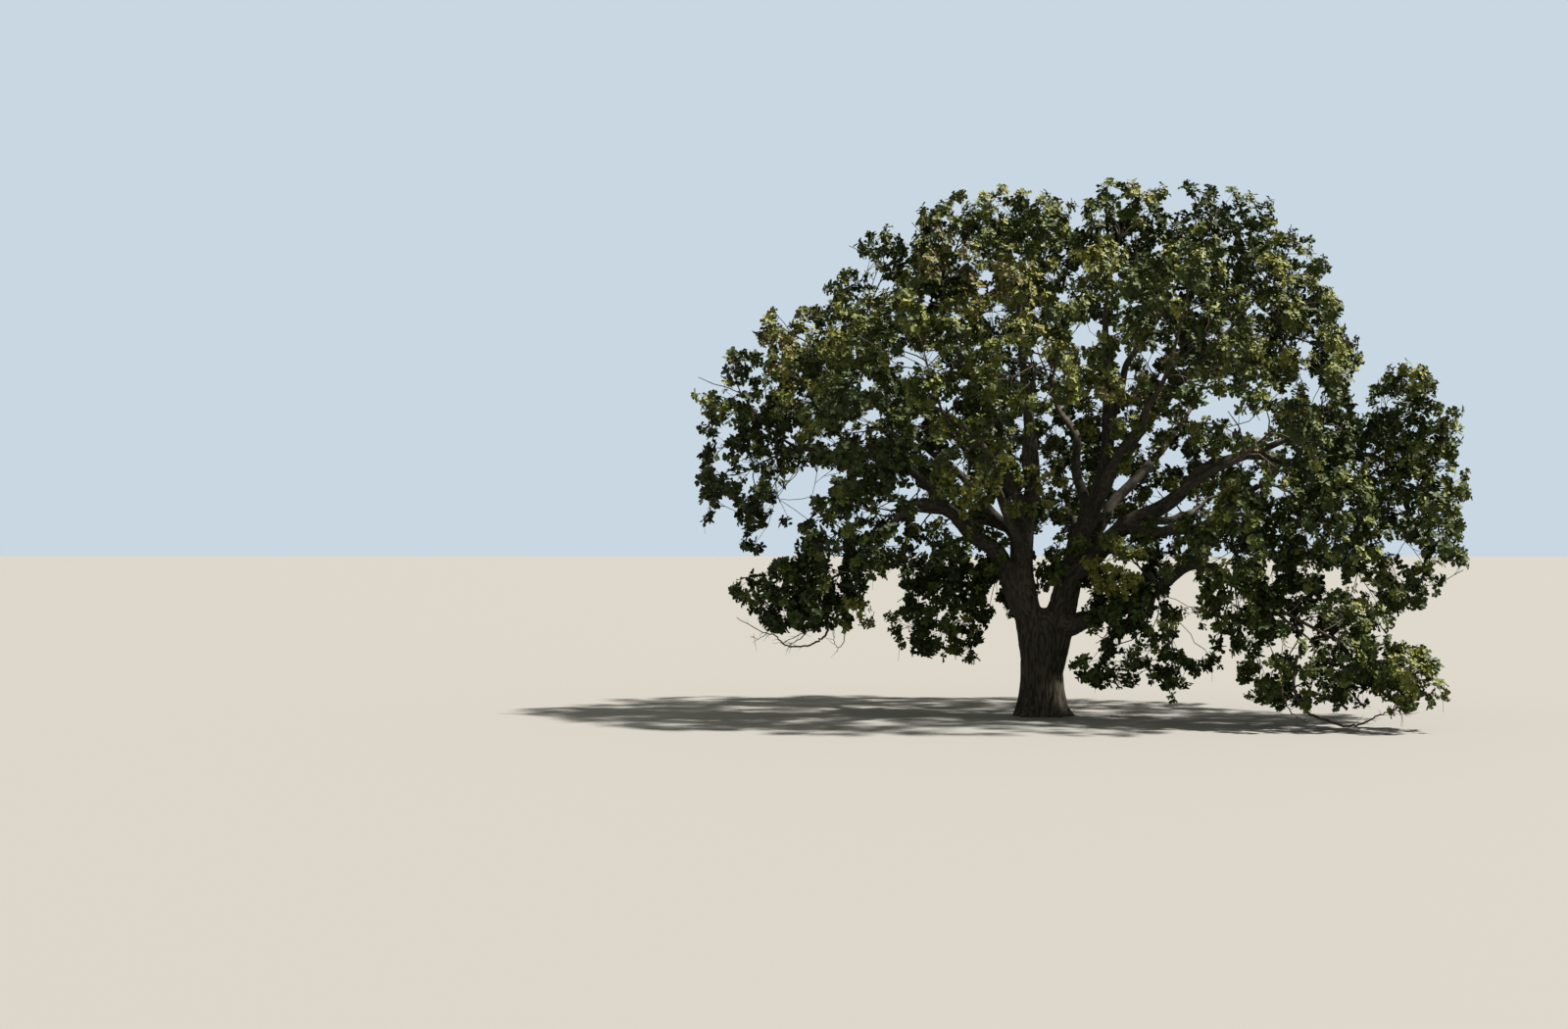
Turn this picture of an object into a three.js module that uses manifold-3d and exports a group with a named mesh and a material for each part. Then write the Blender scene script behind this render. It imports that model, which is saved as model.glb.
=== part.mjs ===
// An open-grown oak: a short flared trunk that forks low into two leaders, long crooked boughs
// that arch out and droop, and a broad crown of separate masses of foliage.
// Millimetres, +Z up, +X to the right seen from the front. The origin is on the ground, in the
// middle of the trunk's flat foot.
import * as THREE from 'three';
import { mergeVertices } from 'three/addons/utils/BufferGeometryUtils.js';
import Module from 'manifold-3d';

const wasm = await Module();
wasm.setup();

// Clearances and seeds
const SEAT_GAP = 0.3; // between a limb and what carries it
const CUTTER_GROWTH = 0.4; // of a carrying limb when it cuts what it carries
const PLUG_SHARE = 0.01; // half the length of the plug across a leader's seat, of the leader's
const SPACE_GAP = 45; // between a mass's own space and the border with its neighbour's
const FAR_LEAD = 2; // a neighbour this much deeper in its own measure is too far off to matter
const LIMB_CLEARANCE = 15; // between foliage and a limb that passes by

// Trunk
const TRUNK_TOP = 2950; // inside the two forks
const SHOULDER_HEIGHT = 2150; // the column rounds in above this
const SHOULDER_ROUNDING = 0.8;
const WAIST_HEIGHT = 1600;
const WAIST_RADIUS = 560;
const SHOULDER_RADIUS = 600;
const FLARE = 190; // how much wider the foot is than the waist, between the buttresses
const FLARE_HEIGHT = 420; // the flare fades over this height
const BUTTRESS = 110; // how far a buttress stands out at the ground
const BUTTRESSES = 6;
const TRUNK_LEAN = [-20, 35]; // the column's middle at its top, along X and Y
const FORK_SEAT_HEIGHT = 3450; // where a leader starts on its fork
const SEAT_STEP = 0.001; // share of a leader's length
const TRUNK_SIDES = 22;
const TRUNK_RINGS = 8;
const RING_CROWDING = 1.6; // draws the column's rings down into the flare
const FORK_RINGS = 4;

// Boughs. Each leaves its parent at a share of the parent's length, runs through its via points
// to its tip, and tapers from the first girth radius to the second.
const BOUGHS = [
  { name: 'leader_left', from: 'trunk', root: [-120, 0, 1300], girth: [410, 85],
    via: [[-436, 0, 3450], [-470, 0, 4900], [-300, 200, 6900]], tip: [-620, 400, 11000] },
  { name: 'leader_right', from: 'trunk', root: [140, 0, 1300], girth: [450, 85],
    via: [[600, 0, 3450], [1180, 0, 5300], [1830, -200, 7400]], tip: [1760, 0, 11000] },
  { name: 'limb_left', from: 'leader_left', at: 0.16, girth: [290, 150],
    via: [[-1300, -200, 4450], [-2100, -500, 5300]], tip: [-3040, -800, 5950] },
  { name: 'arch_left', from: 'limb_left', at: 0.93, girth: [140, 85],
    via: [[-3700, -1000, 5750]], tip: [-4450, -1400, 4700] },
  { name: 'far_left', from: 'limb_left', at: 0.75, girth: [140, 70],
    via: [[-3700, -500, 6900], [-5500, -300, 7250]], tip: [-6700, 100, 7450] },
  { name: 'shoulder_left', from: 'leader_left', at: 0.45, girth: [165, 70],
    via: [[-1950, -900, 7700], [-3400, -900, 8900]], tip: [-4900, -300, 9600] },
  { name: 'high_left', from: 'leader_left', at: 0.34, girth: [175, 70],
    via: [[-1150, 700, 6700], [-1450, 500, 8400]], tip: [-2700, -200, 11000] },
  { name: 'low_left', from: 'limb_left', at: 0.25, girth: [110, 65],
    via: [[-1450, 500, 4000]], tip: [-2100, 900, 4050] },
  { name: 'front_left', from: 'leader_left', at: 0.30, girth: [150, 70],
    via: [[-1000, -1500, 5900]], tip: [-2300, -3200, 7600] },
  { name: 'front_middle', from: 'leader_left', at: 0.50, girth: [140, 65],
    via: [[-400, -1900, 8000]], tip: [-200, -4300, 8900] },
  { name: 'back_left', from: 'leader_left', at: 0.26, girth: [190, 85],
    via: [[-1300, 1700, 5700]], tip: [-3500, 3800, 7700] },
  { name: 'back_middle', from: 'leader_right', at: 0.42, girth: [160, 80],
    via: [[1000, 1900, 7400]], tip: [330, 4200, 9300] },
  { name: 'upper_right', from: 'leader_right', at: 0.52, girth: [200, 85],
    via: [[2700, -500, 8000], [3700, -300, 9100]], tip: [5000, 100, 10500] },
  { name: 'top_right', from: 'leader_right', at: 0.70, girth: [120, 60],
    via: [[2500, 300, 9900]], tip: [3500, 400, 11500] },
  { name: 'limb_right', from: 'leader_right', at: 0.27, girth: [275, 120],
    via: [[2300, -700, 5150], [3400, -900, 6000], [4600, -900, 6850]], tip: [6000, -800, 7350] },
  { name: 'far_right', from: 'limb_right', at: 0.93, girth: [110, 65],
    via: [[7000, -500, 7000]], tip: [8900, -200, 7200] },
  { name: 'middle_right', from: 'limb_right', at: 0.33, girth: [165, 80],
    via: [[3200, -1500, 5050], [4200, -2000, 5300]], tip: [5700, -2400, 6300] },
  { name: 'low_right', from: 'leader_right', at: 0.13, girth: [230, 90],
    via: [[1830, -700, 3150], [3300, -1600, 3950], [4300, -2400, 4150]], tip: [5250, -3000, 3550] },
  { name: 'under_right', from: 'low_right', at: 0.48, girth: [90, 60],
    via: [[2900, -1000, 3950]], tip: [3050, -900, 3700] },
  { name: 'front_right', from: 'leader_right', at: 0.46, girth: [165, 85],
    via: [[2300, -1700, 7500]], tip: [3000, -3100, 8700] },
  { name: 'front_low_right', from: 'limb_right', at: 0.50, girth: [120, 70],
    via: [[3900, -2500, 6300]], tip: [5000, -4000, 6900] },
  { name: 'back_right', from: 'leader_right', at: 0.34, girth: [190, 85],
    via: [[2500, 1700, 6400]], tip: [4000, 4000, 8200] },
  { name: 'back_low_right', from: 'limb_right', at: 0.35, girth: [140, 80],
    via: [[3700, 1000, 5500]], tip: [4300, 2500, 5700] },
  { name: 'back_low_left', from: 'back_left', at: 0.32, girth: [120, 75],
    via: [[-2300, 2000, 5600]], tip: [-3000, 2700, 5700] },
  { name: 'back_inner', from: 'leader_right', at: 0.21, girth: [130, 75],
    via: [[900, 1300, 5000]], tip: [750, 2500, 5900] },
];
const BOUGH_TAPER = 0.9;
const LEADER_TAPER = 1.25;
const CROOK = 0.022; // sideways wander of a limb, as a share of its length
const STOUT_RADIUS = 170; // a limb with a thicker root than this gets more sides and rings
const STOUT_SIDES = 8;
const STOUT_RINGS = 8;
const SLIM_SIDES = 6;
const SLIM_RINGS = 5;

// Masses of foliage: the bough that carries each, the middle of its space, and how far the space
// reaches from there along X, Y and Z.
const MASSES = [
  { name: 'low_left', on: 'arch_left', middle: [-6750, -1000, 3450], reach: [1950, 1900, 1300] },
  { name: 'hanging_left', on: 'arch_left', middle: [-5250, -2000, 5050], reach: [1450, 1700, 1750] },
  { name: 'far_left', on: 'far_left', middle: [-8350, 100, 6800], reach: [1700, 2100, 1750] },
  { name: 'far_upper_left', on: 'far_left', middle: [-8500, 400, 9050], reach: [1650, 2200, 1400] },
  { name: 'shoulder_left', on: 'shoulder_left', middle: [-6800, 200, 10600], reach: [1800, 2400, 1500] },
  { name: 'upper_left', on: 'shoulder_left', middle: [-4500, -100, 12100], reach: [1650, 2400, 1800] },
  { name: 'top_left', on: 'high_left', middle: [-2350, -600, 12950], reach: [1750, 2400, 1750] },
  { name: 'top_middle', on: 'leader_left', middle: [-150, 500, 13150], reach: [1600, 2400, 1750] },
  { name: 'top', on: 'leader_right', middle: [2150, -400, 13200], reach: [1650, 2500, 1750] },
  { name: 'top_right', on: 'top_right', middle: [4400, 500, 13300], reach: [1600, 2500, 1700] },
  { name: 'upper_right', on: 'upper_right', middle: [6350, 0, 12150], reach: [1700, 2500, 1750] },
  { name: 'shoulder_right', on: 'upper_right', middle: [7400, 300, 10300], reach: [1500, 2500, 1800] },
  { name: 'middle_right', on: 'limb_right', middle: [7450, -900, 8000], reach: [1500, 2300, 1450] },
  { name: 'far_upper_right', on: 'far_right', middle: [10050, 100, 8100], reach: [1500, 2300, 1800] },
  { name: 'far_right', on: 'far_right', middle: [10150, -200, 4950], reach: [1550, 2300, 2300] },
  { name: 'tip_low_right', on: 'low_right', middle: [9100, -4100, 1450], reach: [1200, 1600, 900] },
  { name: 'low_right', on: 'low_right', middle: [6900, -3700, 2250], reach: [2250, 1900, 1800] },
  { name: 'inner_right', on: 'middle_right', middle: [5100, -3000, 4650], reach: [1450, 1700, 1750] },
  { name: 'mid_right', on: 'middle_right', middle: [7400, -2500, 5350], reach: [1750, 2200, 2050] },
  { name: 'under_right', on: 'under_right', middle: [2700, -900, 2400], reach: [2100, 1600, 1800] },
  { name: 'under_left', on: 'low_left', middle: [-2900, 1000, 2950], reach: [1650, 1500, 1850] },
  { name: 'front_left', on: 'front_left', middle: [-4600, -4200, 7700], reach: [2000, 2100, 1850] },
  { name: 'front_upper_left', on: 'front_left', middle: [-3100, -4100, 10000], reach: [2000, 2200, 1600] },
  { name: 'front_inner_left', on: 'front_middle', middle: [-1950, -4300, 7100], reach: [1400, 1700, 1600] },
  { name: 'front_middle', on: 'front_middle', middle: [-150, -5400, 9300], reach: [1750, 1900, 1650] },
  { name: 'front_right', on: 'front_right', middle: [3550, -4600, 10500], reach: [2100, 2300, 2350] },
  { name: 'front_low_right', on: 'front_low_right', middle: [5700, -4900, 7550], reach: [1600, 1900, 1600] },
  { name: 'back_left', on: 'back_left', middle: [-4450, 5000, 9550], reach: [3050, 2500, 2600] },
  { name: 'back_low_left', on: 'back_low_left', middle: [-4050, 4500, 5800], reach: [2800, 2400, 2400] },
  { name: 'back_inner', on: 'back_inner', middle: [650, 4200, 6800], reach: [2250, 2200, 2350] },
  { name: 'back_middle', on: 'back_middle', middle: [-100, 6000, 10650], reach: [2950, 2400, 2650] },
  { name: 'back_top', on: 'back_middle', middle: [1350, 3600, 12550], reach: [2800, 2200, 2250] },
  { name: 'back_right', on: 'back_right', middle: [4900, 5700, 9650], reach: [3000, 2500, 2700] },
  { name: 'back_low_right', on: 'back_low_right', middle: [4400, 4700, 5350], reach: [3100, 2400, 2500] },
];

// Bare twigs that trail out from under a mass, from its middle through their via points
const TRAILS = [
  { from: 'low_left', via: [[-5650, -1200, 2600], [-6450, -1350, 1950], [-7650, -1400, 2200]],
    tip: [-8350, -1300, 2650] },
  { from: 'low_right', via: [[6050, -4250, 900], [6950, -4500, 300], [8200, -4500, 230]],
    tip: [9250, -4300, 540] },
];
const TRAIL_RADII = [38, 12];
const TRAIL_SIDES = 4;
const TRAIL_RINGS = 9;

// Foliage
const CORE_SHARES = [0.5, 0.76]; // how far out a core's corners stand, as a share of the space
const CORE_CLOSING = 0.24; // how much further they stand towards a neighbour
const CORE_BORDER = 0.94; // the most of the way to a neighbour's space that a core fills
const TWIG_WAYS = 17; // directions spread evenly round a mass
const TWIG_STRIDE = 6; // directions tried one after the other lie this far apart in the spread
const TWIG_ROOM = 800; // a mass grows one twig for this much of its mean reach
const TWIG_SHARE = 0.84; // a twig's tip, as a share of the way to the border of the space
const TWIG_RADII = [60, 32];
const GOLDEN_ANGLE = 2.39996;
const OPEN_SHARE = 0.7; // a twig grows only where its way out is at least this open
const LEAST_SPRAYS = 2; // a twig with room for fewer isn't grown
const SPRAY_STEP = 0.05; // between the sprays of a twig, as a share of its length
const SPRAY_LENGTH = 1500; // a leaf blade stands for a spray
const SPRAY_WIDTH = 1000;
const SPRAY_THICKNESS = 90;
const SPRAY_WIDEST = 0.6; // share of its length at which a blade is widest
const SPRAY_SIZES = [1, 0.9, 0.8, 0.7, 0.6, 0.5, 0.4]; // tried from the largest
const SPRAY_TILTS = [0.5, 1.1]; // radians between each spray and its twig
const CORE_SPRAY_TILTS = [0.7, 1.0]; // radians a spray on the core leans off its face, by turns
const CORE_SPRAY_ROOM = 212; // a core carries one spray for this much of the mass's mean reach
const CORE_SPRAY_SUNK = 90; // how deep its root is in the core
const SPRAY_EDGE = 1.05; // how far out a spray may reach, as a share of the space
const SPRAY_TURNS = 8; // ways round the twig tried for each spray
const STEM_SIDES = 4;
const STEM_RINGS = 3;
const STEM_TAPER = 0.55;
const STEM_SHARE = 0.8; // a stem's radius at its root, of the radius of the bough's tip
const TWIN_STEM_SHARE = 0.4; // the same where two stems share the tip
const TWIN_STEM_ASIDE = 0.5; // how far each of the two stands from the tip's middle
const STEM_BEND = 0.3; // how far a stem runs straight on before it bends
const MARCH_STEPS = 40;
const LEAST_EDGE = 1; // shorter edges are merged away when a mass is joined
const FIRST_SEED = 1000;

const BARK = { color: 0x4a4238, roughness: 0.95, metalness: 0 };
const FOLIAGE = { color: 0x46512a, roughness: 0.8, metalness: 0 };

const v3 = (p) => new THREE.Vector3(...p);

// Mulberry32, so that every build grows the same tree.
function seededRandom(seed) {
  let state = seed >>> 0;
  return () => {
    state = (state + 0x6d2b79f5) >>> 0;
    let t = Math.imul(state ^ (state >>> 15), state | 1);
    t ^= t + Math.imul(t ^ (t >>> 7), t | 61);
    return ((t ^ (t >>> 14)) >>> 0) / 4294967296;
  };
}

// A geometry as one closed skin whose faces share their corners
function welded(geometry) {
  const bare = geometry.clone();
  bare.deleteAttribute('normal');
  bare.deleteAttribute('uv');
  return mergeVertices(bare, 1e-3);
}

function toSolid(geometry) {
  const skin = welded(geometry);
  return new wasm.Manifold(new wasm.Mesh({
    numProp: 3,
    vertProperties: skin.attributes.position.array,
    triVerts: new Uint32Array(skin.index.array),
  }));
}

function toGeometry(solid) {
  const mesh = solid.getMesh();
  const geometry = new THREE.BufferGeometry();
  geometry.setAttribute('position', new THREE.BufferAttribute(mesh.vertProperties, 3));
  geometry.setIndex(new THREE.BufferAttribute(mesh.triVerts, 1));
  geometry.computeVertexNormals();
  return geometry;
}

const joined = (solids) => solids.reduce((sum, next) => sum.add(next));

function largestPiece(solid) {
  return solid.decompose().reduce((a, b) => (a.volume() > b.volume() ? a : b));
}

function overlaps(a, b) {
  const p = a.boundingBox();
  const q = b.boundingBox();
  const apart = [0, 1, 2].some((k) => p.min[k] > q.max[k] || q.min[k] > p.max[k]);
  return !apart && a.intersect(b).volume() > 0;
}

// A limb's middle line: a smooth curve through its points that wanders a little to the sides.
class LimbPath extends THREE.Curve {
  constructor(points, order, crook = CROOK) {
    super();
    this.line = new THREE.CatmullRomCurve3(points, false, 'catmullrom', 0.5);
    this.phase = 2.4 * order;
    this.wander = crook * this.line.getLength();
  }

  getPoint(t, target = new THREE.Vector3()) {
    const sway = this.wander * Math.sin(Math.PI * t);
    this.line.getPoint(t, target);
    target.x += sway * Math.sin(10 * t + this.phase);
    target.y += sway * Math.cos(12 * t + 1.7 * this.phase);
    target.z += 0.6 * sway * Math.sin(14 * t + 0.7 * this.phase);
    return target;
  }
}

// A closed tapering limb along part of a path: a cylinder bent onto it
function limbSolid(path, radiusAt, sides, rings, from = 0, to = 1) {
  const geometry = new THREE.CylinderGeometry(1, 1, 1, sides, rings);
  const frames = [];
  for (let k = 0; k <= rings; k++) {
    const t = from + ((to - from) * k) / rings;
    const ahead = path.getTangentAt(t);
    const side = k ? frames[k - 1].side.clone() : new THREE.Vector3(1, 0, 0.01);
    side.addScaledVector(ahead, -side.dot(ahead)).normalize();
    frames.push({ t, ahead, side, across: side.clone().cross(ahead), middle: path.getPointAt(t) });
  }
  const place = geometry.attributes.position;
  for (let i = 0; i < place.count; i++) {
    const frame = frames[Math.round((place.getY(i) + 0.5) * rings)];
    const radius = radiusAt(frame.t);
    const point = frame.middle.clone()
      .addScaledVector(frame.side, place.getX(i) * radius)
      .addScaledVector(frame.across, place.getZ(i) * radius);
    place.setXYZ(i, point.x, point.y, point.z);
  }
  return toSolid(geometry);
}

// Each bough with its path and radius along it.
const boughs = new Map();
BOUGHS.forEach((spec, order) => {
  const parent = boughs.get(spec.from);
  const root = spec.root ? v3(spec.root) : parent.path.getPointAt(spec.at);
  const path = new LimbPath([root, ...spec.via.map(v3), v3(spec.tip)], order);
  const [thick, thin] = spec.girth;
  const taper = spec.root ? LEADER_TAPER : BOUGH_TAPER;
  const radiusAt = (t) => thin + (thick - thin) * (1 - t) ** taper;
  boughs.set(spec.name, { ...spec, path, radiusAt, stout: thick > STOUT_RADIUS });
});

// The share of a leader's path at which it leaves the trunk's fork.
function seatShare(bough) {
  let share = 0;
  while (bough.path.getPointAt(share).z < FORK_SEAT_HEIGHT) share += SEAT_STEP;
  return share;
}

function boughSolid(bough, from = 0, grow = 0) {
  const sides = bough.stout ? STOUT_SIDES : SLIM_SIDES;
  const rings = bough.stout ? STOUT_RINGS : SLIM_RINGS;
  return limbSolid(bough.path, (t) => bough.radiusAt(t) + grow, sides, rings, from, 1);
}

// The column's radius, with its root flare and buttresses
function columnRadius(height, angle) {
  const flare = Math.exp(-height / FLARE_HEIGHT);
  const swell = THREE.MathUtils.clamp((height - WAIST_HEIGHT) / (SHOULDER_HEIGHT - WAIST_HEIGHT), 0, 1);
  const buttress = Math.cos(BUTTRESSES * angle + 0.6 * Math.sin(2 * angle));
  const column = THREE.MathUtils.lerp(WAIST_RADIUS, SHOULDER_RADIUS, swell);
  const radius = column + flare * (FLARE + BUTTRESS * buttress);
  const over = Math.max(0, (height - SHOULDER_HEIGHT) / (TRUNK_TOP - SHOULDER_HEIGHT));
  return radius * Math.sqrt(1 - SHOULDER_ROUNDING * over * over);
}

// The column, flat at the ground, and the two forks that carry the leaders
function trunkSolid(grow = 0) {
  const column = new THREE.CylinderGeometry(1, 1, 1, TRUNK_SIDES, TRUNK_RINGS);
  const place = column.attributes.position;
  for (let i = 0; i < place.count; i++) {
    const share = place.getY(i) + 0.5;
    const height = TRUNK_TOP * share ** RING_CROWDING;
    const angle = Math.atan2(-place.getZ(i), place.getX(i));
    const radius = Math.hypot(place.getX(i), place.getZ(i)) * (columnRadius(height, angle) + grow);
    const shift = height / TRUNK_TOP;
    place.setXYZ(i, radius * Math.cos(angle) + TRUNK_LEAN[0] * shift,
      radius * Math.sin(angle) + TRUNK_LEAN[1] * shift, height);
  }
  const forks = ['leader_left', 'leader_right'].map((name) => {
    const leader = boughs.get(name);
    const radiusAt = (t) => leader.radiusAt(t) + grow;
    return limbSolid(leader.path, radiusAt, STOUT_SIDES, FORK_RINGS, 0, seatShare(leader));
  });
  return joined([toSolid(column), ...forks]);
}

// The share of its path at which a bough's own solid starts: a leader's just clear of its fork
function startShare(bough) {
  return bough.root ? seatShare(bough) + SEAT_GAP / bough.path.getLength() : 0;
}

// A bough grown round it and past its tip
function grownBough(bough, grow) {
  const around = boughSolid(bough, startShare(bough), grow);
  const pastTip = bough.path.getTangentAt(1).multiplyScalar(grow);
  return around.add(around.translate(pastTip.toArray()));
}

// What cuts the boughs that a limb carries. A leader's comes with the trunk and a plug across
// their seat.
function cutterOf(parent) {
  const limb = grownBough(parent, CUTTER_GROWTH);
  if (!parent.root) return limb;
  const seat = seatShare(parent);
  const radiusAt = (t) => parent.radiusAt(t) + CUTTER_GROWTH;
  const plug = limbSolid(parent.path, radiusAt, STOUT_SIDES, 1, seat - PLUG_SHARE, seat + PLUG_SHARE);
  return joined([limb, trunkSolid(CUTTER_GROWTH), plug]);
}

// A limb is cut back to the surface of the limb that carries it.
function cutToParent(bough) {
  if (bough.root) return boughSolid(bough, startShare(bough));
  return largestPiece(boughSolid(bough).subtract(cutterOf(boughs.get(bough.from))));
}

const trunk = trunkSolid();
for (const bough of boughs.values()) bough.solid = cutToParent(bough);

// The spaces of the masses. Each is an ellipsoid, less what is nearer to a neighbour's.
const masses = MASSES.map((spec, order) => ({
  ...spec, order, middle: v3(spec.middle), reach: v3(spec.reach), bough: boughs.get(spec.on),
}));

const meanReach = ({ reach }) => (reach.x + reach.y + reach.z) / 3;

function depth(mass, point) {
  return point.clone().sub(mass.middle).divide(mass.reach).lengthSq();
}

function depthSlope(mass, point) {
  return point.clone().sub(mass.middle).divide(mass.reach).divide(mass.reach).multiplyScalar(2);
}

function inOwnSpace(mass, point, edge = 1) {
  const own = depth(mass, point);
  if (own > edge * edge || point.z < SPACE_GAP) return false;
  return masses.every((other) => {
    if (other === mass) return true;
    const lead = depth(other, point) - own;
    if (lead > FAR_LEAD) return true;
    return lead > SPACE_GAP * depthSlope(other, point).sub(depthSlope(mass, point)).length();
  });
}

// How far a ray from the middle stays in the mass's own space, as a share of its reach.
function openShare(mass, direction) {
  for (let k = 1; k <= MARCH_STEPS; k++) {
    const point = direction.clone().multiply(mass.reach).multiplyScalar(k / MARCH_STEPS).add(mass.middle);
    if (!inOwnSpace(mass, point)) return (k - 1) / MARCH_STEPS;
  }
  return 1;
}

// A craggy core: where the crown ends its corners stand in and out by chance, and where a
// neighbour follows they come close up to the border.
function coreGeometry(mass, random) {
  const geometry = welded(new THREE.IcosahedronGeometry(1, 1));
  const place = geometry.attributes.position;
  for (let i = 0; i < place.count; i++) {
    const direction = new THREE.Vector3().fromBufferAttribute(place, i).normalize();
    const craggy = THREE.MathUtils.lerp(...CORE_SHARES, random());
    const open = openShare(mass, direction);
    const share = open < 1 ? Math.min(CORE_BORDER * open, craggy + CORE_CLOSING) : craggy;
    direction.multiply(mass.reach).multiplyScalar(share).add(mass.middle);
    place.setXYZ(i, direction.x, direction.y, direction.z);
  }
  return geometry;
}

// The stem runs on from the bough's tip into the middle of the mass. Masses that share a tip
// have stems side by side on it.
function stemOf(mass) {
  const { path, girth } = mass.bough;
  const sharing = masses.filter((m) => m.bough === mass.bough);
  const tip = path.getPointAt(1);
  const ahead = path.getTangentAt(1);
  const radius = girth[1] * (sharing.length > 1 ? TWIN_STEM_SHARE : STEM_SHARE);
  const root = tip.clone().addScaledVector(ahead, SEAT_GAP);
  if (sharing.length > 1) {
    const mean = new THREE.Vector3();
    sharing.forEach((m) => mean.addScaledVector(m.middle, 1 / sharing.length));
    const aside = mass.middle.clone().sub(mean);
    aside.addScaledVector(ahead, -aside.dot(ahead)).normalize();
    root.addScaledVector(aside, TWIN_STEM_ASIDE * girth[1]);
  }
  const span = root.distanceTo(mass.middle);
  const bend = root.clone().addScaledVector(ahead, STEM_BEND * span);
  const stem = new THREE.QuadraticBezierCurve3(root, bend, mass.middle);
  return { stem, radius };
}

function stemSolid(mass, grow = 0) {
  const { stem, radius } = stemOf(mass);
  return limbSolid(stem, (t) => radius * (1 - STEM_TAPER * t) + grow, STEM_SIDES, STEM_RINGS);
}

// One spray: a flat eight-sided blade from its root, in the middle of its twig, along its way,
// with its flat side to the light.
function sprayGeometry(root, way, light, size) {
  const geometry = new THREE.OctahedronGeometry(1);
  const length = SPRAY_LENGTH * size;
  geometry.scale((SPRAY_WIDTH * size) / 2, 1, (SPRAY_THICKNESS * size) / 2);
  const place = geometry.attributes.position;
  for (let i = 0; i < place.count; i++) {
    const share = [0, SPRAY_WIDEST, 1][Math.round(place.getY(i)) + 1];
    place.setY(i, length * share);
  }
  const across = way.clone().cross(light).normalize();
  const out = across.clone().cross(way);
  geometry.applyMatrix4(new THREE.Matrix4().makeBasis(across, way, out).setPosition(root));
  return geometry;
}

function twigGeometry(from, to) {
  const along = to.clone().sub(from);
  const [thick, thin] = TWIG_RADII;
  const geometry = new THREE.CylinderGeometry(thin, thick, along.length(), 3);
  geometry.translate(0, along.length() / 2, 0);
  geometry.applyQuaternion(
    new THREE.Quaternion().setFromUnitVectors(new THREE.Vector3(0, 1, 0), along.clone().normalize()));
  geometry.translate(from.x, from.y, from.z);
  return geometry;
}

function geometryInSpace(mass, geometry) {
  const place = geometry.attributes.position;
  const point = new THREE.Vector3();
  for (let i = 0; i < place.count; i++) {
    if (!inOwnSpace(mass, point.fromBufferAttribute(place, i), SPRAY_EDGE)) return false;
  }
  return true;
}

// Where twigs of a mass could end: directions on a golden spiral, turned by the seed, in an order
// that soon spreads all round
function twigTips(mass, random) {
  const tips = [];
  const firstTurn = 2 * Math.PI * random();
  for (let k = 0; k < TWIG_WAYS; k++) {
    const place = (k * TWIG_STRIDE) % TWIG_WAYS;
    const height = 1 - (2 * (place + 0.5)) / TWIG_WAYS;
    const turn = firstTurn + GOLDEN_ANGLE * place;
    const around = Math.sqrt(1 - height * height);
    const direction = new THREE.Vector3(around * Math.cos(turn), around * Math.sin(turn), height);
    const open = openShare(mass, direction);
    if (open < OPEN_SHARE) continue;
    tips.push(direction.multiply(mass.reach).multiplyScalar(TWIG_SHARE * open).add(mass.middle));
  }
  return tips;
}

// The shapes tried for one spray: the largest first, each turned a few ways round the twig
function* sprayTries(root, ahead, side, turn, tilt) {
  for (const size of SPRAY_SIZES) {
    for (let k = 0; k < SPRAY_TURNS; k++) {
      const about = side.clone().applyAxisAngle(ahead, turn + ((2 * Math.PI) / SPRAY_TURNS) * k);
      yield sprayGeometry(root, ahead.clone().applyAxisAngle(about, tilt), ahead, size);
    }
  }
}

// The first of the shapes that keeps to the mass's space and touches none of the solids
function firstClear(mass, shapes, solids) {
  for (const shape of shapes) {
    if (!geometryInSpace(mass, shape)) continue;
    const solid = toSolid(shape);
    if (!solids.some((other) => overlaps(solid, other))) return solid;
  }
  return null;
}

// The sprays of one twig, side by side round its end
function spraysOf(mass, tip, random, near) {
  const sprays = [];
  const ahead = tip.clone().sub(mass.middle).normalize();
  const side = new THREE.Vector3(random() - 0.5, random() - 0.5, random() - 0.5).cross(ahead).normalize();
  SPRAY_TILTS.forEach((tilt, n) => {
    const root = tip.clone().lerp(mass.middle, SPRAY_STEP * (n + 0.3));
    const turn = (2 * Math.PI * n) / SPRAY_TILTS.length + 0.4 * random();
    const spray = firstClear(mass, sprayTries(root, ahead, side, turn, tilt), [...sprays, ...near]);
    if (spray) sprays.push(spray);
  });
  return sprays;
}

function trailsOf(mass) {
  const [thick, thin] = TRAIL_RADII;
  return TRAILS.filter((trail) => trail.from === mass.name).map((trail) => {
    const path = new THREE.CatmullRomCurve3([mass.middle, ...trail.via.map(v3), v3(trail.tip)]);
    return limbSolid(path, (t) => thick + (thin - thick) * t, TRAIL_SIDES, TRAIL_RINGS);
  });
}

// The faces of a core that carry a spray, each the furthest from those before it
function spreadFaces(geometry, count) {
  const place = geometry.attributes.position;
  const faces = [];
  for (let k = 0; k < geometry.index.count; k += 3) {
    const corners = [0, 1, 2].map((n) => (
      new THREE.Vector3().fromBufferAttribute(place, geometry.index.getX(k + n))));
    const face = new THREE.Triangle(...corners);
    const middle = face.getMidpoint(new THREE.Vector3());
    faces.push({ middle, normal: face.getNormal(new THREE.Vector3()) });
  }
  const chosen = [faces[0]];
  const nearest = (face) => Math.min(...chosen.map((other) => face.middle.distanceTo(other.middle)));
  while (chosen.length < count) chosen.push(faces.reduce((a, b) => (nearest(a) > nearest(b) ? a : b)));
  return chosen;
}

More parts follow.
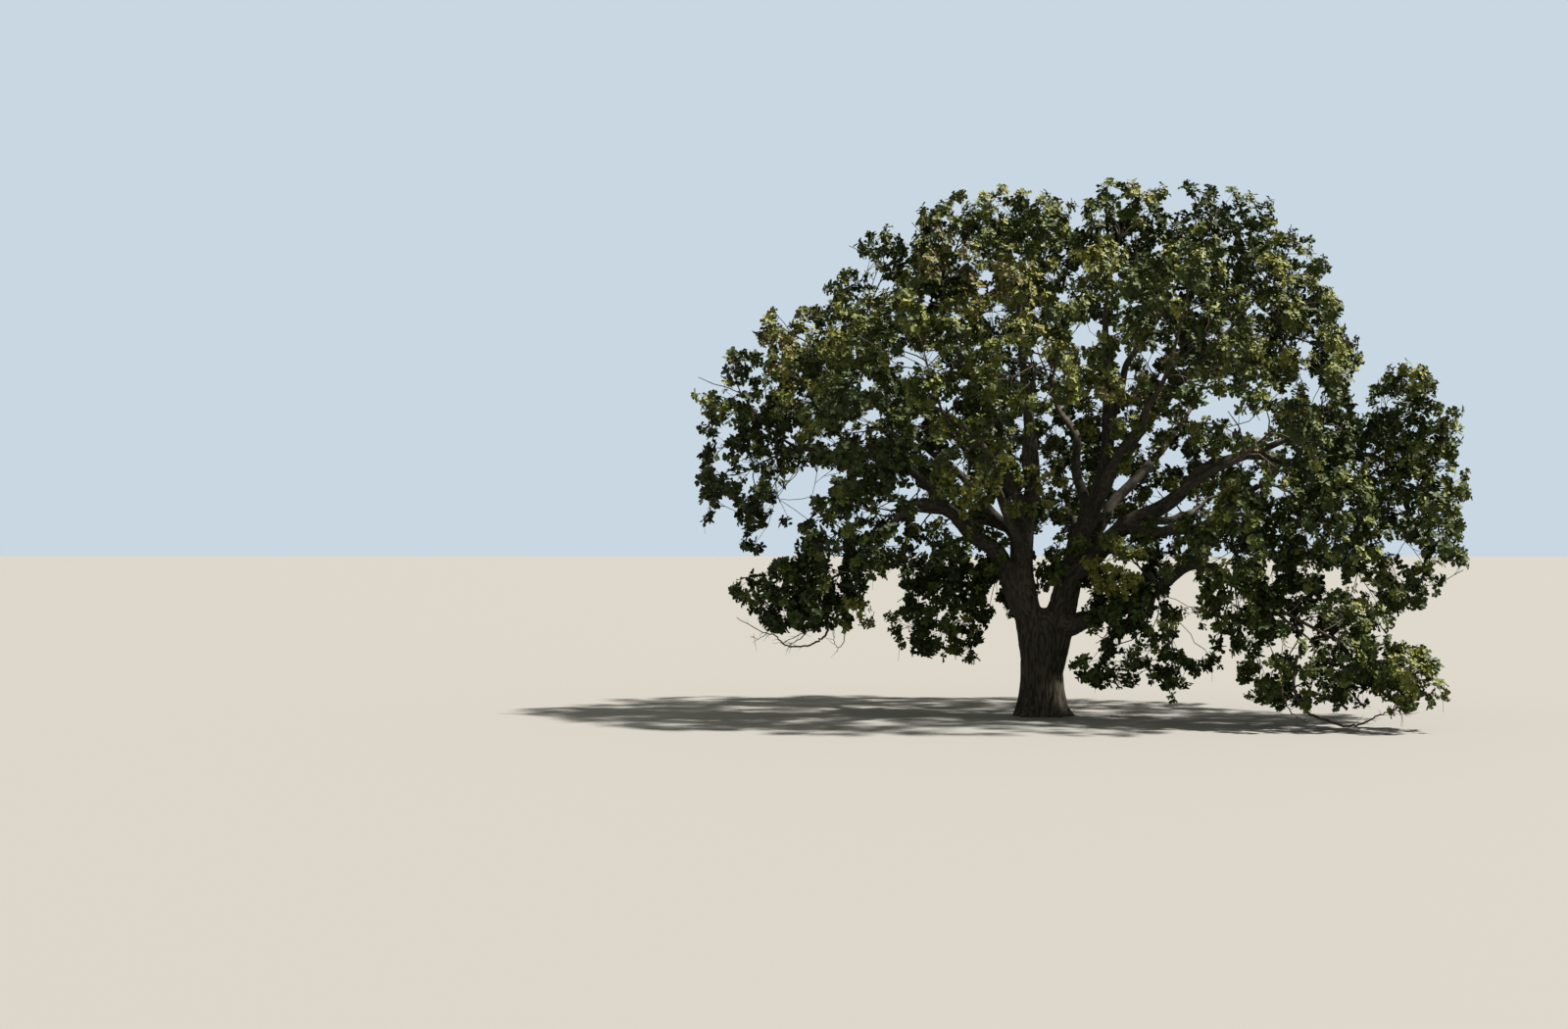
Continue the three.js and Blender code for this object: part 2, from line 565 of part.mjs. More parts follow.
// Sprays that stand on the core, their roots sunk in it
function coreSprays(mass, geometry, random, near) {
  const sprays = [];
  const count = Math.round(meanReach(mass) / CORE_SPRAY_ROOM);
  spreadFaces(geometry, count).forEach(({ middle, normal }, n) => {
    const side = new THREE.Vector3(random() - 0.5, random() - 0.5, random() - 0.5).cross(normal).normalize();
    const root = middle.clone().addScaledVector(normal, -CORE_SPRAY_SUNK);
    const tilt = CORE_SPRAY_TILTS[n % CORE_SPRAY_TILTS.length];
    const spray = firstClear(mass, sprayTries(root, normal, side, 0, tilt), [...sprays, ...near]);
    if (spray) sprays.push(spray);
  });
  return sprays;
}

function massSolid(mass, obstacles) {
  const random = seededRandom(FIRST_SEED + mass.order);
  const geometry = coreGeometry(mass, random);
  let core = toSolid(geometry);
  for (const obstacle of obstacles) {
    if (overlaps(core, obstacle)) core = largestPiece(core.subtract(obstacle));
  }
  const hanging = [stemSolid(mass), ...trailsOf(mass)];
  const body = [core, ...hanging, ...coreSprays(mass, geometry, random, [...obstacles, ...hanging])];
  const most = Math.round(meanReach(mass) / TWIG_ROOM);
  const twigs = [];
  for (const tip of twigTips(mass, random)) {
    if (twigs.length === most) break;
    const twig = toSolid(twigGeometry(mass.middle, tip));
    if (obstacles.some((obstacle) => overlaps(twig, obstacle))) continue;
    const sprays = spraysOf(mass, tip, random, [...obstacles, ...body]);
    if (sprays.length < LEAST_SPRAYS) continue;
    body.push(...sprays);
    twigs.push(twig);
  }
  return largestPiece(joined([...body, ...twigs]).simplify(LEAST_EDGE));
}

// Limbs and stems that foliage keeps clear of, a little larger than they are
const grownLimbs = [
  trunkSolid(LIMB_CLEARANCE),
  ...[...boughs.values()].map((bough) => grownBough(bough, LIMB_CLEARANCE)),
];
const grownStems = masses.map((mass) => stemSolid(mass, LIMB_CLEARANCE));
for (const mass of masses) {
  mass.solid = massSolid(mass, [...grownLimbs, ...grownStems.filter((_, order) => order !== mass.order)]);
}

function named(name, solid, look) {
  const material = new THREE.MeshStandardMaterial({ ...look, flatShading: true });
  const mesh = new THREE.Mesh(toGeometry(solid), material);
  mesh.name = name;
  return mesh;
}

const tree = new THREE.Group();
tree.name = 'oak_tree';
const wood = new THREE.Group();
const crown = new THREE.Group();
tree.add(wood, crown);
wood.add(named('trunk', trunk, BARK));
for (const bough of boughs.values()) wood.add(named(`bough_${bough.name}`, bough.solid, BARK));
for (const mass of masses) crown.add(named(`foliage_${mass.name}`, mass.solid, FOLIAGE));

export default tree;
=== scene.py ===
import math

import bmesh
import bpy
import numpy as np
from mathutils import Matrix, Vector, noise


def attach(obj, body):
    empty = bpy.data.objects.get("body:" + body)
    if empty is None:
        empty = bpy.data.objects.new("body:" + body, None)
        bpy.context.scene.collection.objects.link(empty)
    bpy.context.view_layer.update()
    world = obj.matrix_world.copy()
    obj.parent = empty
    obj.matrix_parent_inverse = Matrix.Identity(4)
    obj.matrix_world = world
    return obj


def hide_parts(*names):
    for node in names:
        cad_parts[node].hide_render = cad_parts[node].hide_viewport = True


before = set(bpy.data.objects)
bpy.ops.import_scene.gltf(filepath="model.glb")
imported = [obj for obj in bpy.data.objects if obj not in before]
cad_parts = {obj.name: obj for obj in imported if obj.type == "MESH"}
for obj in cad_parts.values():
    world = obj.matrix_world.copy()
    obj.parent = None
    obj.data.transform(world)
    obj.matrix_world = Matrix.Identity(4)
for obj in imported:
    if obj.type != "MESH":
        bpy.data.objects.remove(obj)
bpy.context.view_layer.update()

# The looks of an open-grown oak in leaf: bark with its relief on the trunk and boughs, and boughs,
# branches, twigs and leaves in the place of the crown's plain masses. Metres, +Z up, +X to the
# right seen from the front.

FOLIAGE_NODES = sorted(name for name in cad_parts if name.startswith("foliage_"))
WOOD_NODES = sorted(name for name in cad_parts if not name.startswith("foliage_"))
rng = np.random.default_rng(20)
UP = np.array([0.0, 0.0, 1.0])

# Camera, and the size of the picture it takes
PHOTO_WIDTH, PHOTO_HEIGHT = 1600, 1050
LENS, SENSOR = 50.0, 36.0
TREE_COLUMN = 1063  # the column of pixels of the trunk, and the row at the viewer's own height
HORIZON_ROW = 560
VIEWER = np.array([0.0, -61.0, 4.63])
FARTHEST = 2000

# Light: high sun from the right, a low lamp that slips in under the crown and grazes the trunk's
# foot, an even soft light all round, a pale backdrop, and the floor
SUN = {"energy": 14.5, "angle": math.radians(3), "color": (1.0, 0.94, 0.84)}
SUN_WAY = (-0.50, -0.04, -0.86)
LOW_LAMP = {"energy": 1500, "color": (1.0, 0.92, 0.78), "spot_size": math.radians(15), "spot_blend": 0.8,
            "shadow_soft_size": 0.15}
LOW_LAMP_PLACE = Vector((5.0, -0.7, 0.42))
LOW_LAMP_END = Vector((0.6, -0.2, 0.65))
SOFT_LIGHT = {"Color": (0.85, 0.86, 0.72, 1), "Strength": 0.66}
BACKDROP = {"Color": (0.68, 0.80, 0.90, 1), "Strength": 0.85}
FLOOR_HALF = 1300
FLOOR_FINISH = ((0.155, 0.155, 0.152), 0.95, 0.1)  # colour, roughness and gloss

# Trunk: the source's column
TRUNK_TOP = 2.95
SHOULDER_HEIGHT = 2.15
SHOULDER_ROUNDING = 0.8
WAIST_HEIGHT = 1.6
WAIST_RADIUS = 0.56
SHOULDER_RADIUS = 0.60
FLARE = 0.19
FLARE_HEIGHT = 0.42
BUTTRESS = 0.11
BUTTRESSES = 6
TOE = 0.05  # small roots between the buttresses
TOES = 13
TOE_HEIGHT = 0.16
BUTTRESS_UNEVEN, TOE_UNEVEN = 0.6, 1.3  # how unevenly they stand round the trunk
CREASE = 0.075  # depth of the crease below the fork, at the front and the back
CREASE_ANGLES = (-1.70, 1.62)
CREASE_WIDTH = 0.17
CREASE_HEIGHTS = (0.9, 2.3)
TRUNK_LEAN = (-0.020, 0.035)
TRUNK_BURIED = 0.2  # made this far below the ground, then cut flat
COLUMN_SIDES, COLUMN_RINGS = 96, 64
TRUNK_STEPS = 80

# Boughs, as in the source: the parent, the share of its length where the bough leaves it (or the
# root inside the trunk), the via points, the tip, and the radius at each end.
BOUGHS = {
    "leader_left": ("trunk", (-0.12, 0, 1.3), [(-0.52, 0, 3.45), (-0.42, 0, 4.9), (-0.3, 0.2, 6.9)],
        (-0.62, 0.4, 11.0), (0.41, 0.085)),
    "leader_right": ("trunk", (0.14, 0, 1.3), [(0.72, 0, 3.45), (1.16, 0, 5.3), (1.83, -0.2, 7.4)],
        (1.76, 0, 11.0), (0.45, 0.085)),
    "limb_left": ("leader_left", 0.16, [(-1.3, -0.2, 4.45), (-2.1, -0.5, 5.3)], (-3.04, -0.8, 5.95),
        (0.29, 0.15)),
    "arch_left": ("limb_left", 0.93, [(-3.7, -1.0, 5.75)], (-4.45, -1.4, 4.7), (0.14, 0.085)),
    "far_left": ("limb_left", 0.75, [(-3.7, -0.5, 6.9), (-5.5, -0.3, 7.25)], (-6.7, 0.1, 7.45),
        (0.14, 0.07)),
    "shoulder_left": ("leader_left", 0.45, [(-1.95, -0.9, 7.7), (-3.4, -0.9, 8.9)], (-4.9, -0.3, 9.6),
        (0.165, 0.07)),
    "high_left": ("leader_left", 0.34, [(-1.15, 0.7, 6.7), (-1.45, 0.5, 8.4)], (-2.7, -0.2, 11.0),
        (0.175, 0.07)),
    "low_left": ("limb_left", 0.25, [(-1.45, 0.5, 4.0)], (-2.1, 0.9, 4.05), (0.11, 0.065)),
    "front_left": ("leader_left", 0.3, [(-1.0, -1.5, 5.9)], (-2.3, -3.2, 7.6), (0.15, 0.07)),
    "front_middle": ("leader_left", 0.5, [(-0.4, -1.9, 8.0)], (-0.2, -4.3, 8.9), (0.14, 0.065)),
    "back_left": ("leader_left", 0.26, [(-1.3, 1.7, 5.7)], (-3.5, 3.8, 7.7), (0.19, 0.085)),
    "back_middle": ("leader_right", 0.42, [(1.0, 1.9, 7.4)], (0.33, 4.2, 9.3), (0.16, 0.08)),
    "upper_right": ("leader_right", 0.52, [(2.7, -0.5, 8.0), (3.7, -0.3, 9.1)], (5.0, 0.1, 10.5),
        (0.2, 0.085)),
    "top_right": ("leader_right", 0.7, [(2.5, 0.3, 9.9)], (3.5, 0.4, 11.5), (0.12, 0.06)),
    "limb_right": ("leader_right", 0.27, [(2.3, -0.7, 5.15), (3.4, -0.9, 6.0), (4.6, -0.9, 6.85)],
        (6.0, -0.8, 7.35), (0.275, 0.12)),
    "far_right": ("limb_right", 0.93, [(7.0, -0.5, 7.0)], (8.9, -0.2, 7.2), (0.11, 0.065)),
    "middle_right": ("limb_right", 0.33, [(3.2, -1.5, 5.05), (4.2, -2.0, 5.3)], (5.7, -2.4, 6.3),
        (0.165, 0.08)),
    "low_right": ("leader_right", 0.12, [(1.15, -0.3, 2.62), (2.05, -0.8, 2.95), (3.3, -1.6, 3.8),
        (4.3, -2.4, 4.15)], (5.25, -3.0, 3.55), (0.23, 0.09)),
    "under_right": ("low_right", 0.48, [(2.9, -1.0, 3.95)], (3.05, -0.9, 3.7), (0.09, 0.06)),
    "front_right": ("leader_right", 0.46, [(2.3, -1.7, 7.5)], (3.0, -3.1, 8.7), (0.165, 0.085)),
    "front_low_right": ("limb_right", 0.5, [(3.9, -2.5, 6.3)], (5.0, -4.0, 6.9), (0.12, 0.07)),
    "back_right": ("leader_right", 0.34, [(2.5, 1.7, 6.4)], (4.0, 4.0, 8.2), (0.19, 0.085)),
    "back_low_right": ("limb_right", 0.35, [(3.7, 1.0, 5.5)], (4.3, 2.5, 5.7), (0.14, 0.08)),
    "back_low_left": ("back_left", 0.32, [(-2.3, 2.0, 5.6)], (-3.0, 2.7, 5.7), (0.12, 0.075)),
    "back_inner": ("leader_right", 0.21, [(0.9, 1.3, 5.0)], (0.75, 2.5, 5.9), (0.13, 0.075)),
}
BOUGH_TAPER = 0.9
LEADER_TAPER = 1.25
CROOK = 0.022
LEADER_CROOK = 0.008
CROOK_WAVES = [(10, 1), (12, 1.7), (14, 0.7)]  # how fast it sways in X, Y and Z, and from what phase
CROOK_RISE = 0.6  # of its sway to the sides
CROOK_TURN = 2.4  # from bough to bough
CURVE_STEPS = 400
COLLAR = 0.35  # how much a bough swells where it leaves its parent
COLLAR_LENGTH = 1.6  # of its radius there
FORK_SWELL = 0.06  # how much the leaders swell round the fork
FORK_ALONG = 1.7  # how far along a leader the fork is
FORK_SPREAD = 1.3
LIMB_STEP = 0.05  # between the samples of a limb
LIMB_SIDES = 20

# Bark
VOXEL = 0.024
SOFTENINGS = 5
FORK_SOFTENINGS = 110  # more of them where the leaders part, so they run into one another
FORK_MIDDLE = np.array([0.08, 0.0, 2.75])
FORK_REACH = 0.75
PLATE_WIDTH = 0.088  # between the furrows on stout wood
PLATE_SHARE = 0.22  # on thin wood they are this share of its radius apart, and no less than the next
LEAST_PLATE = 0.045
PLATE_STRETCH = 5.5  # plates are this much longer than wide
FURROW_DEPTH = 0.038
FURROW_SHARE = 0.075  # a furrow is no deeper than this share of the limb's radius
FURROW_EDGE, FURROW_POWER = 0.23, 0.75  # its width and the curve of its sides
CRACK_STRETCH = np.array([1.7, 1.7, 3.5])  # cracks across the plates
CRACK_EDGE = 0.2
CRACK_LEVEL, CRACK_RISE = 0.82, 0.18  # how high a plate is in a crack, and the rest
RELIEF_LEVEL = 0.55  # stands neither in nor out
LIMB_SHIFT, CRACK_SHIFT = 7.3, 31.0  # in the noise
POINTS_AT_ONCE = 4000
BARK_TRIANGLES = 125_000

# Masses of foliage, as in the source: the bough that carries each, the middle of its space, how
# far the space reaches, its tint, below 0 for darker sprays and above 0 for paler, olive ones, which is
# partly the mass's own colour and partly painted light on masses in the sun and painted shade on the
# low ones under the crown, and its fullness, more where it stands alone against the light and less
# where others cover it.
MASSES = {
    "low_left": ("arch_left", (-6.75, -1.0, 3.45), (1.95, 1.9, 1.3), -0.3, 2.0),
    "hanging_left": ("arch_left", (-5.25, -2.0, 5.05), (1.45, 1.7, 1.75), -0.2, 1.4),
    "far_left": ("far_left", (-8.35, 0.1, 6.8), (1.7, 2.1, 1.75), -0.3, 1.5),
    "far_upper_left": ("far_left", (-8.5, 0.4, 9.05), (1.65, 2.2, 1.4), -0.1, 1.2),
    "shoulder_left": ("shoulder_left", (-6.8, 0.2, 10.6), (1.8, 2.4, 1.5), 0.25, 1.0),
    "upper_left": ("shoulder_left", (-4.5, -0.1, 12.1), (1.65, 2.4, 1.8), 0.1, 1.0),
    "top_left": ("high_left", (-2.35, -0.6, 12.95), (1.75, 2.4, 1.75), 0.2, 1.2),
    "top_middle": ("leader_left", (-0.15, 0.5, 13.15), (1.6, 2.4, 1.75), 0.2, 1.2),
    "top": ("leader_right", (2.15, -0.4, 13.2), (1.65, 2.5, 1.75), 0.1, 1.0),
    "top_right": ("top_right", (4.4, 0.5, 13.3), (1.6, 2.5, 1.7), 0.1, 1.0),
    "upper_right": ("upper_right", (6.35, 0, 12.15), (1.7, 2.5, 1.75), 0.1, 1.3),
    "shoulder_right": ("upper_right", (7.4, 0.3, 10.3), (1.5, 2.5, 1.8), 0.1, 1.0),
    "middle_right": ("limb_right", (7.45, -0.9, 8.0), (1.5, 2.3, 1.45), 0.1, 1.0),
    "far_upper_right": ("far_right", (10.05, 0.1, 8.1), (1.5, 2.3, 1.8), 0.1, 1.7),
    "far_right": ("far_right", (10.15, -0.2, 4.95), (1.55, 2.3, 2.3), 0.15, 1.7),
    "tip_low_right": ("low_right", (9.1, -4.1, 1.45), (1.2, 1.6, 0.9), 0.1, 2.2),
    "low_right": ("low_right", (6.9, -3.7, 2.25), (2.25, 1.9, 1.8), 0.0, 2.0),
    "inner_right": ("middle_right", (5.1, -3.0, 4.65), (1.45, 1.7, 1.75), 0.25, 1.4),
    "mid_right": ("middle_right", (7.4, -2.5, 5.35), (1.75, 2.2, 2.05), 0.2, 1.7),
    "under_right": ("under_right", (2.7, -0.9, 2.4), (2.1, 1.6, 1.8), -0.2, 1.9),
    "under_left": ("low_left", (-2.9, 1.0, 2.95), (1.65, 1.5, 1.85), -0.3, 1.8),
    "front_left": ("front_left", (-4.6, -4.2, 7.7), (2.0, 2.1, 1.85), 0.0, 1.0),
    "front_upper_left": ("front_left", (-3.1, -4.1, 10.0), (2.0, 2.2, 1.6), 0.35, 1.0),
    "front_inner_left": ("front_middle", (-1.95, -4.3, 7.1), (1.4, 1.7, 1.6), 0.3, 1.0),
    "front_middle": ("front_middle", (-0.15, -5.4, 9.3), (1.75, 1.9, 1.65), 0.5, 1.0),
    "front_right": ("front_right", (3.55, -4.6, 10.5), (2.1, 2.3, 2.35), 0.1, 1.0),
    "front_low_right": ("front_low_right", (5.7, -4.9, 7.55), (1.6, 1.9, 1.6), 0.1, 1.0),
    "back_left": ("back_left", (-4.45, 5.0, 9.55), (3.05, 2.5, 2.6), 0.0, 0.8),
    "back_low_left": ("back_low_left", (-4.05, 4.5, 5.8), (2.8, 2.4, 2.4), 0.0, 1.0),
    "back_inner": ("back_inner", (0.65, 4.2, 6.8), (2.25, 2.2, 2.35), 0.0, 0.8),
    "back_middle": ("back_middle", (-0.1, 6.0, 10.65), (2.95, 2.4, 2.65), 0.1, 0.8),
    "back_top": ("back_middle", (1.35, 3.6, 12.55), (2.8, 2.2, 2.25), 0.1, 0.75),
    "back_right": ("back_right", (4.9, 5.7, 9.65), (3.0, 2.5, 2.7), 0.0, 0.8),
    "back_low_right": ("back_low_right", (4.4, 4.7, 5.35), (3.1, 2.4, 2.5), 0.0, 1.0),
}
NAMES = list(MASSES)
MIDDLES = np.array([MASSES[name][1] for name in NAMES], float)
REACHES = np.array([MASSES[name][2] for name in NAMES], float)

# Gaps that let the light through the crown: the middle of each, X and Z in the plane of the trunk,
# and its half width and half height there
LIGHT_GAPS = [
    (-3.65, 9.95, 0.64, 0.35), (1.15, 10.6, 0.42, 0.38), (2.25, 9.85, 0.19, 0.5), (2.97, 9.8, 0.17, 0.38),
    (0.02, 3.35, 0.14, 0.34), (3.2, 12.9, 0.2, 0.32), (0.14, 8.8, 0.27, 0.19), (1.06, 8.36, 0.19, 0.22),
    (4.25, 8.42, 0.33, 0.3), (5.71, 8.11, 0.66, 0.36), (7.4, 8.85, 0.27, 0.27), (3.62, 7.1, 0.38, 0.26),
    (2.24, 6.31, 0.32, 0.33), (3.15, 5.96, 0.27, 0.27), (0.19, 5.04, 0.22, 0.42), (-2.8, 5.7, 0.49, 0.22),
    (-3.35, 5.55, 0.22, 0.26), (-3.9, 5.15, 0.16, 0.22), (-3.15, 4.58, 0.12, 0.18),
    (-4.15, 3.55, 0.28, 0.5), (-6.16, 6.62, 0.6, 0.5), (-7.2, 5.9, 0.44, 0.46), (-1.2, 3.6, 0.17, 0.22),
    (-1.42, 3.2, 0.16, 0.22), (-1.1, 2.45, 0.26, 0.5), (1.25, 1.98, 0.5, 0.36), (3.89, 3.6, 0.48, 0.54),
    (7.9, 3.95, 0.26, 0.26), (10.0, 4.42, 0.26, 0.28), (-1.1, 11.2, 0.11, 0.27), (-9.0, 7.75, 0.22, 0.36),
    (-9.05, 6.9, 0.16, 0.2), (-8.2, 9.55, 0.2, 0.14), (0.9, 13.75, 0.17, 0.26), (0.7, 12.9, 0.17, 0.15),
    (0.2, 12.2, 0.12, 0.2), (1.1, 12.35, 0.13, 0.17), (-1.6, 12.2, 0.28, 0.29), (0.5, 11.7, 0.13, 0.16),
]

# Where the crown's outline comes in, between the masses and beside them
NOTCHES = [
    (-5.9, 12.9, 0.5, 0.72), (-7.0, 11.85, 1.0, 0.45), (-8.35, 10.8, 0.5, 0.6), (-9.45, 9.75, 0.51, 0.67),
    (-10.1, 7.2, 0.45, 1.7), (-8.8, 5.35, 0.42, 0.62), (-7.44, 4.91, 0.45, 0.55),
    (-8.62, 4.15, 0.58, 0.42), (-6.6, 2.0, 1.3, 0.32), (-2.9, 1.3, 0.9, 0.38), (2.75, 0.55, 0.8, 0.35),
    (4.05, 2.2, 0.42, 0.5), (7.1, 13.95, 0.76, 0.6), (7.85, 13.05, 0.56, 0.4), (8.95, 11.0, 0.84, 0.8),
    (8.67, 8.92, 0.29, 0.54), (11.2, 9.2, 0.68, 0.66), (11.7, 5.2, 0.34, 1.0), (11.1, 3.45, 0.6, 0.62),
    (9.95, 2.35, 0.8, 0.33),
]
GAP_RAGGED = 0.33  # size of the lobes of foliage that break a gap's edge, and how far they move it
GAP_EDGE = 1.3
SMALL_GAP = 0.50  # size of the lobes between the small gaps
SMALL_GAP_LEVEL = 0.47  # fewer small gaps the higher this is

# Wood inside the masses: corners round it, the radius at its two ends, and its bends
STEM_SIDES, BRANCH_SIDES, TWIG_SIDES = 6, 5, 3
STEM_ALONE, STEM_SHARED = 0.95, 0.72  # a stem's radius, of that of its bough's tip, alone or with others
STEM_TAPER = 0.4
STEM_SUNK = 0.08
STEM_BEND = 0.3
STEM_POINTS = 9
BARE_SHARE, BARE_IN_MASS = 0.35, 0.55  # of a bough, without branches to lumps between and in its mass
ACROSS_COST = 1.25  # of a metre of branch that leaves square to its parent
AHEAD_GAIN = 0.45  # how much less it costs where it runs straight on
NEAR, NEAR_COST = 0.25, 0.25  # a branch shorter than this costs so much more
BRANCH_STEP = 0.28
BRANCH_GROWTH = (0.014, 0.016)  # its radius, and what each metre of its length adds
BRANCH_OF_PARENT = 0.85
BRANCH_TIP = 0.011
TUFT_TWIG = (0.010, 0.005)
STRAND = (0.010, 0.004)
SPRIG = (0.016, 0.006)
SHOOT = (0.014, 0.005)
SIDE_TWIG = (0.008, 0.003)
STALK_RADIUS = 0.006
BEND = 0.33
WOBBLE = 0.03
LEAVE_STRAIGHT = 0.9  # how much a branch heads for its end where it leaves, and where it arrives
ARRIVE_STRAIGHT = 0.6
ARRIVE_UP = 0.15

# Growth of the crown
GOLDEN_ANGLE = math.pi * (3 - math.sqrt(5))
MARCH_STEPS = 40
WAYS_ROUND = 26
LUMPS_PER_SQUARE = 3.4  # branch ends of a mass, for its mean reach squared
LUMP_SHARE = (0.55, 0.86)  # how far out a branch ends, as a share of the open way
LEAST_OPEN = 0.45
LIGHT_REACH = 2.0  # no branch ends where this far round there is nothing but foliage
LEAST_LIGHT = 0.10
SHADE_REACH = 0.9
TUFTS = 9  # tried round each branch end
TUFT_REACH = (0.34, 0.62)
TUFT_EDGE = 0.87  # how far out a tuft may stand, as a share of the space
TUFT_RAGGED = 0.16  # how much that varies
LOBE = 1.1  # size of the lobes that it varies by
TUFT_JITTER = 0.25
TUFT_STRAIGHT = 0.5  # how much its twig heads for it
DOME_EDGE = -0.35  # a tuft stands no further back than this from the way its lump faces
LIFT = 0.35  # how much lumps and sprays turn up
TUFT_TONES = 0.3  # how much the tones of a lump's tufts vary
SPRIG_TUFT, SHOOT_TUFT, STRAND_TUFT = 0.9, 0.75, 0.6  # their tufts' sizes, of a lump's
SPRAYS = 6  # tried round each tuft
SPRAY_REACH = (0.10, 0.27)
SPRAY_WAY = 0.75  # how much a spray keeps to its tuft's way
CORE_SPRAYS = 8  # in the shade inside each lump
CORE_REACH = 0.46
# painted shade: how much darker the tone of the sprays inside each lump is
PAINTED_CORE_SHADE = -1.3
CORE_LEAST_TUFTS = 3  # a lump with fewer has no core
SUNWARD = np.array([0.42, -0.10, 0.90])
PAINTED_SUN_TONE = 0.85  # painted highlight: how much paler the tufts on a lump's sunny side are made
GROUND_CLEARANCE = 0.12

# The whole crown, and the lumps of foliage between its masses that make it full from every side
CROWN_MIDDLE = np.array([0.6, 0.4, 6.6])
CROWN_REACH = np.array([10.2, 7.3, 8.0])
BETWEEN_STEP = 1.18  # from lump to lump
BETWEEN_SHARES = (0.42, 0.90)  # how far out they are, as a share of the reach, squared
BETWEEN_LOW = 5.2  # they stand no lower than this
BETWEEN_FRONT = (-1.0, 8.6)  # and towards the viewer no lower than this
BETWEEN_DEPTH = 0.95
BETWEEN_JITTER = (0.2, 0.8)
BETWEEN_EDGE = 1.06  # how far out their tufts may stand, clear of a mass's middle or near its rim
BETWEEN_CLEAR, BETWEEN_RIM = 0.7, 0.35
BETWEEN_BRANCH = 3.0  # the longest branch to one
OUTLINE_SHARE = 0.80  # how far out in a mass's outline they are, squared

# Strands that hang from the undersides, and short shoots on the limbs inside the crown
STRAND_LENGTH = (0.40, 1.0)
STRAND_SLOPE = -0.15  # branches that point lower than this carry a strand
STRAND_EDGE = 1.08
STRAND_SWING = 0.3
STRAND_JITTER = 0.07
STRAND_POINTS = 6
STRAND_HANG = 0.6  # how much its tufts face down
STRAND_JOINTS = [2, 3, 5]  # the points of its line that carry a tuft
SHOOT_LENGTH = (0.30, 0.75)
# painted shade: the shoots inside the crown are given this darker tone
PAINTED_SHOOT_SHADE = -0.8
SHOOT_LOWEST = 1.5
SHOOT_DROOP = 0.12
SHOOT_LEAN = 0.5  # how much it leans along the limb, and how much its end turns aside
SHOOT_JITTER, SHOOT_SPREAD = 0.1, 0.6  # how far its tufts stand and face apart
SHOOTS = [
    # the limb, from and to which share of it, how many
    ("leader_left", 0.2, 0.45, 9), ("leader_left", 0.45, 0.85, 16), ("leader_right", 0.2, 0.36, 16),
    ("leader_right", 0.5, 0.95, 22), ("limb_left", 0.1, 0.95, 16), ("arch_left", 0.25, 0.95, 8),
    ("far_left", 0.3, 0.95, 12), ("high_left", 0.2, 0.95, 16), ("shoulder_left", 0.35, 0.95, 12),
    ("upper_right", 0.15, 0.95, 20), ("top_right", 0.2, 0.95, 8), ("limb_right", 0.04, 0.3, 12),
    ("limb_right", 0.3, 0.95, 18), ("middle_right", 0.3, 0.95, 12), ("low_right", 0.06, 0.95, 26),
    ("low_left", 0.3, 1.0, 12), ("back_left", 0.3, 0.95, 12), ("back_middle", 0.3, 0.95, 10),
    ("back_right", 0.3, 0.95, 12), ("back_inner", 0.4, 0.95, 6), ("front_left", 0.35, 0.95, 8),
    ("front_right", 0.35, 0.95, 8),
]

# Single lumps that stand out between the masses, and the longest branch to one
LUMP_BRANCH = 5.0
LUMP_PLACES = [
    (3.1, 0.1, 14.05), (4.2, 0.2, 13.95), (5.6, 0.2, 13.5), (6.2, 0.1, 13.1), (7.35, 0.2, 12.25),
    (-7.55, 0.2, 10.85), (-0.95, 0.3, 14.25), (4.65, -2.8, 2.6), (5.3, -3.0, 2.2), (5.3, -2.6, 3.3),
    (6.55, -2.6, 4.0), (8.9, -1.5, 3.4), (2.55, -0.9, 10.8), (2.5, 0.1, 13.2), (-7.4, 0.2, 11.2),
    (-7.2, -0.6, 8.3), (3.3, -1.4, 8.4), (-4.0, -1.2, 6.5), (-4.8, -1.2, 5.7), (10.65, -0.4, 5.1),
    (10.85, 0.1, 4.5), (1.45, -0.9, 1.4), (2.0, -0.9, 1.5), (2.6, -1.0, 2.4), (7.3, -2.4, 2.9),
    (6.2, -4.0, 1.7), (6.95, -4.0, 1.75), (6.5, -3.8, 2.45), (7.2, -3.6, 2.3), (4.05, -1.0, 1.5),
    (1.75, -0.9, 2.35), (9.75, -0.3, 5.05), (8.2, -1.5, 3.15), (6.3, -1.0, 3.9), (4.75, -3.0, 4.75),
    (-2.4, -1.5, 4.8), (11.0, 0.0, 6.3), (-8.1, -0.5, 6.3), (-7.7, 0.3, 6.5), (4.9, -1.0, 8.95),
    (-2.3, -3.5, 7.2), (-5.0, 0.0, 12.2), (-6.5, -0.5, 10.6), (7.4, -0.3, 10.5), (0.05, -1.5, 6.45),
    (5.8, 0.0, 13.75), (1.85, 0.0, 14.2), (-4.95, -1.5, 3.1), (4.0, -0.5, 8.0), (2.3, -2.0, 8.2),
    (1.95, -1.2, 4.65), (2.5, -1.3, 4.5), (2.4, -0.9, 1.9), (3.1, -0.9, 1.6), (3.0, -1.0, 2.3),
    (6.9, -2.8, 3.3), (7.6, -3.0, 2.2), (8.0, -3.6, 1.6), (5.9, -3.5, 1.35), (5.85, -2.8, 3.2),
]

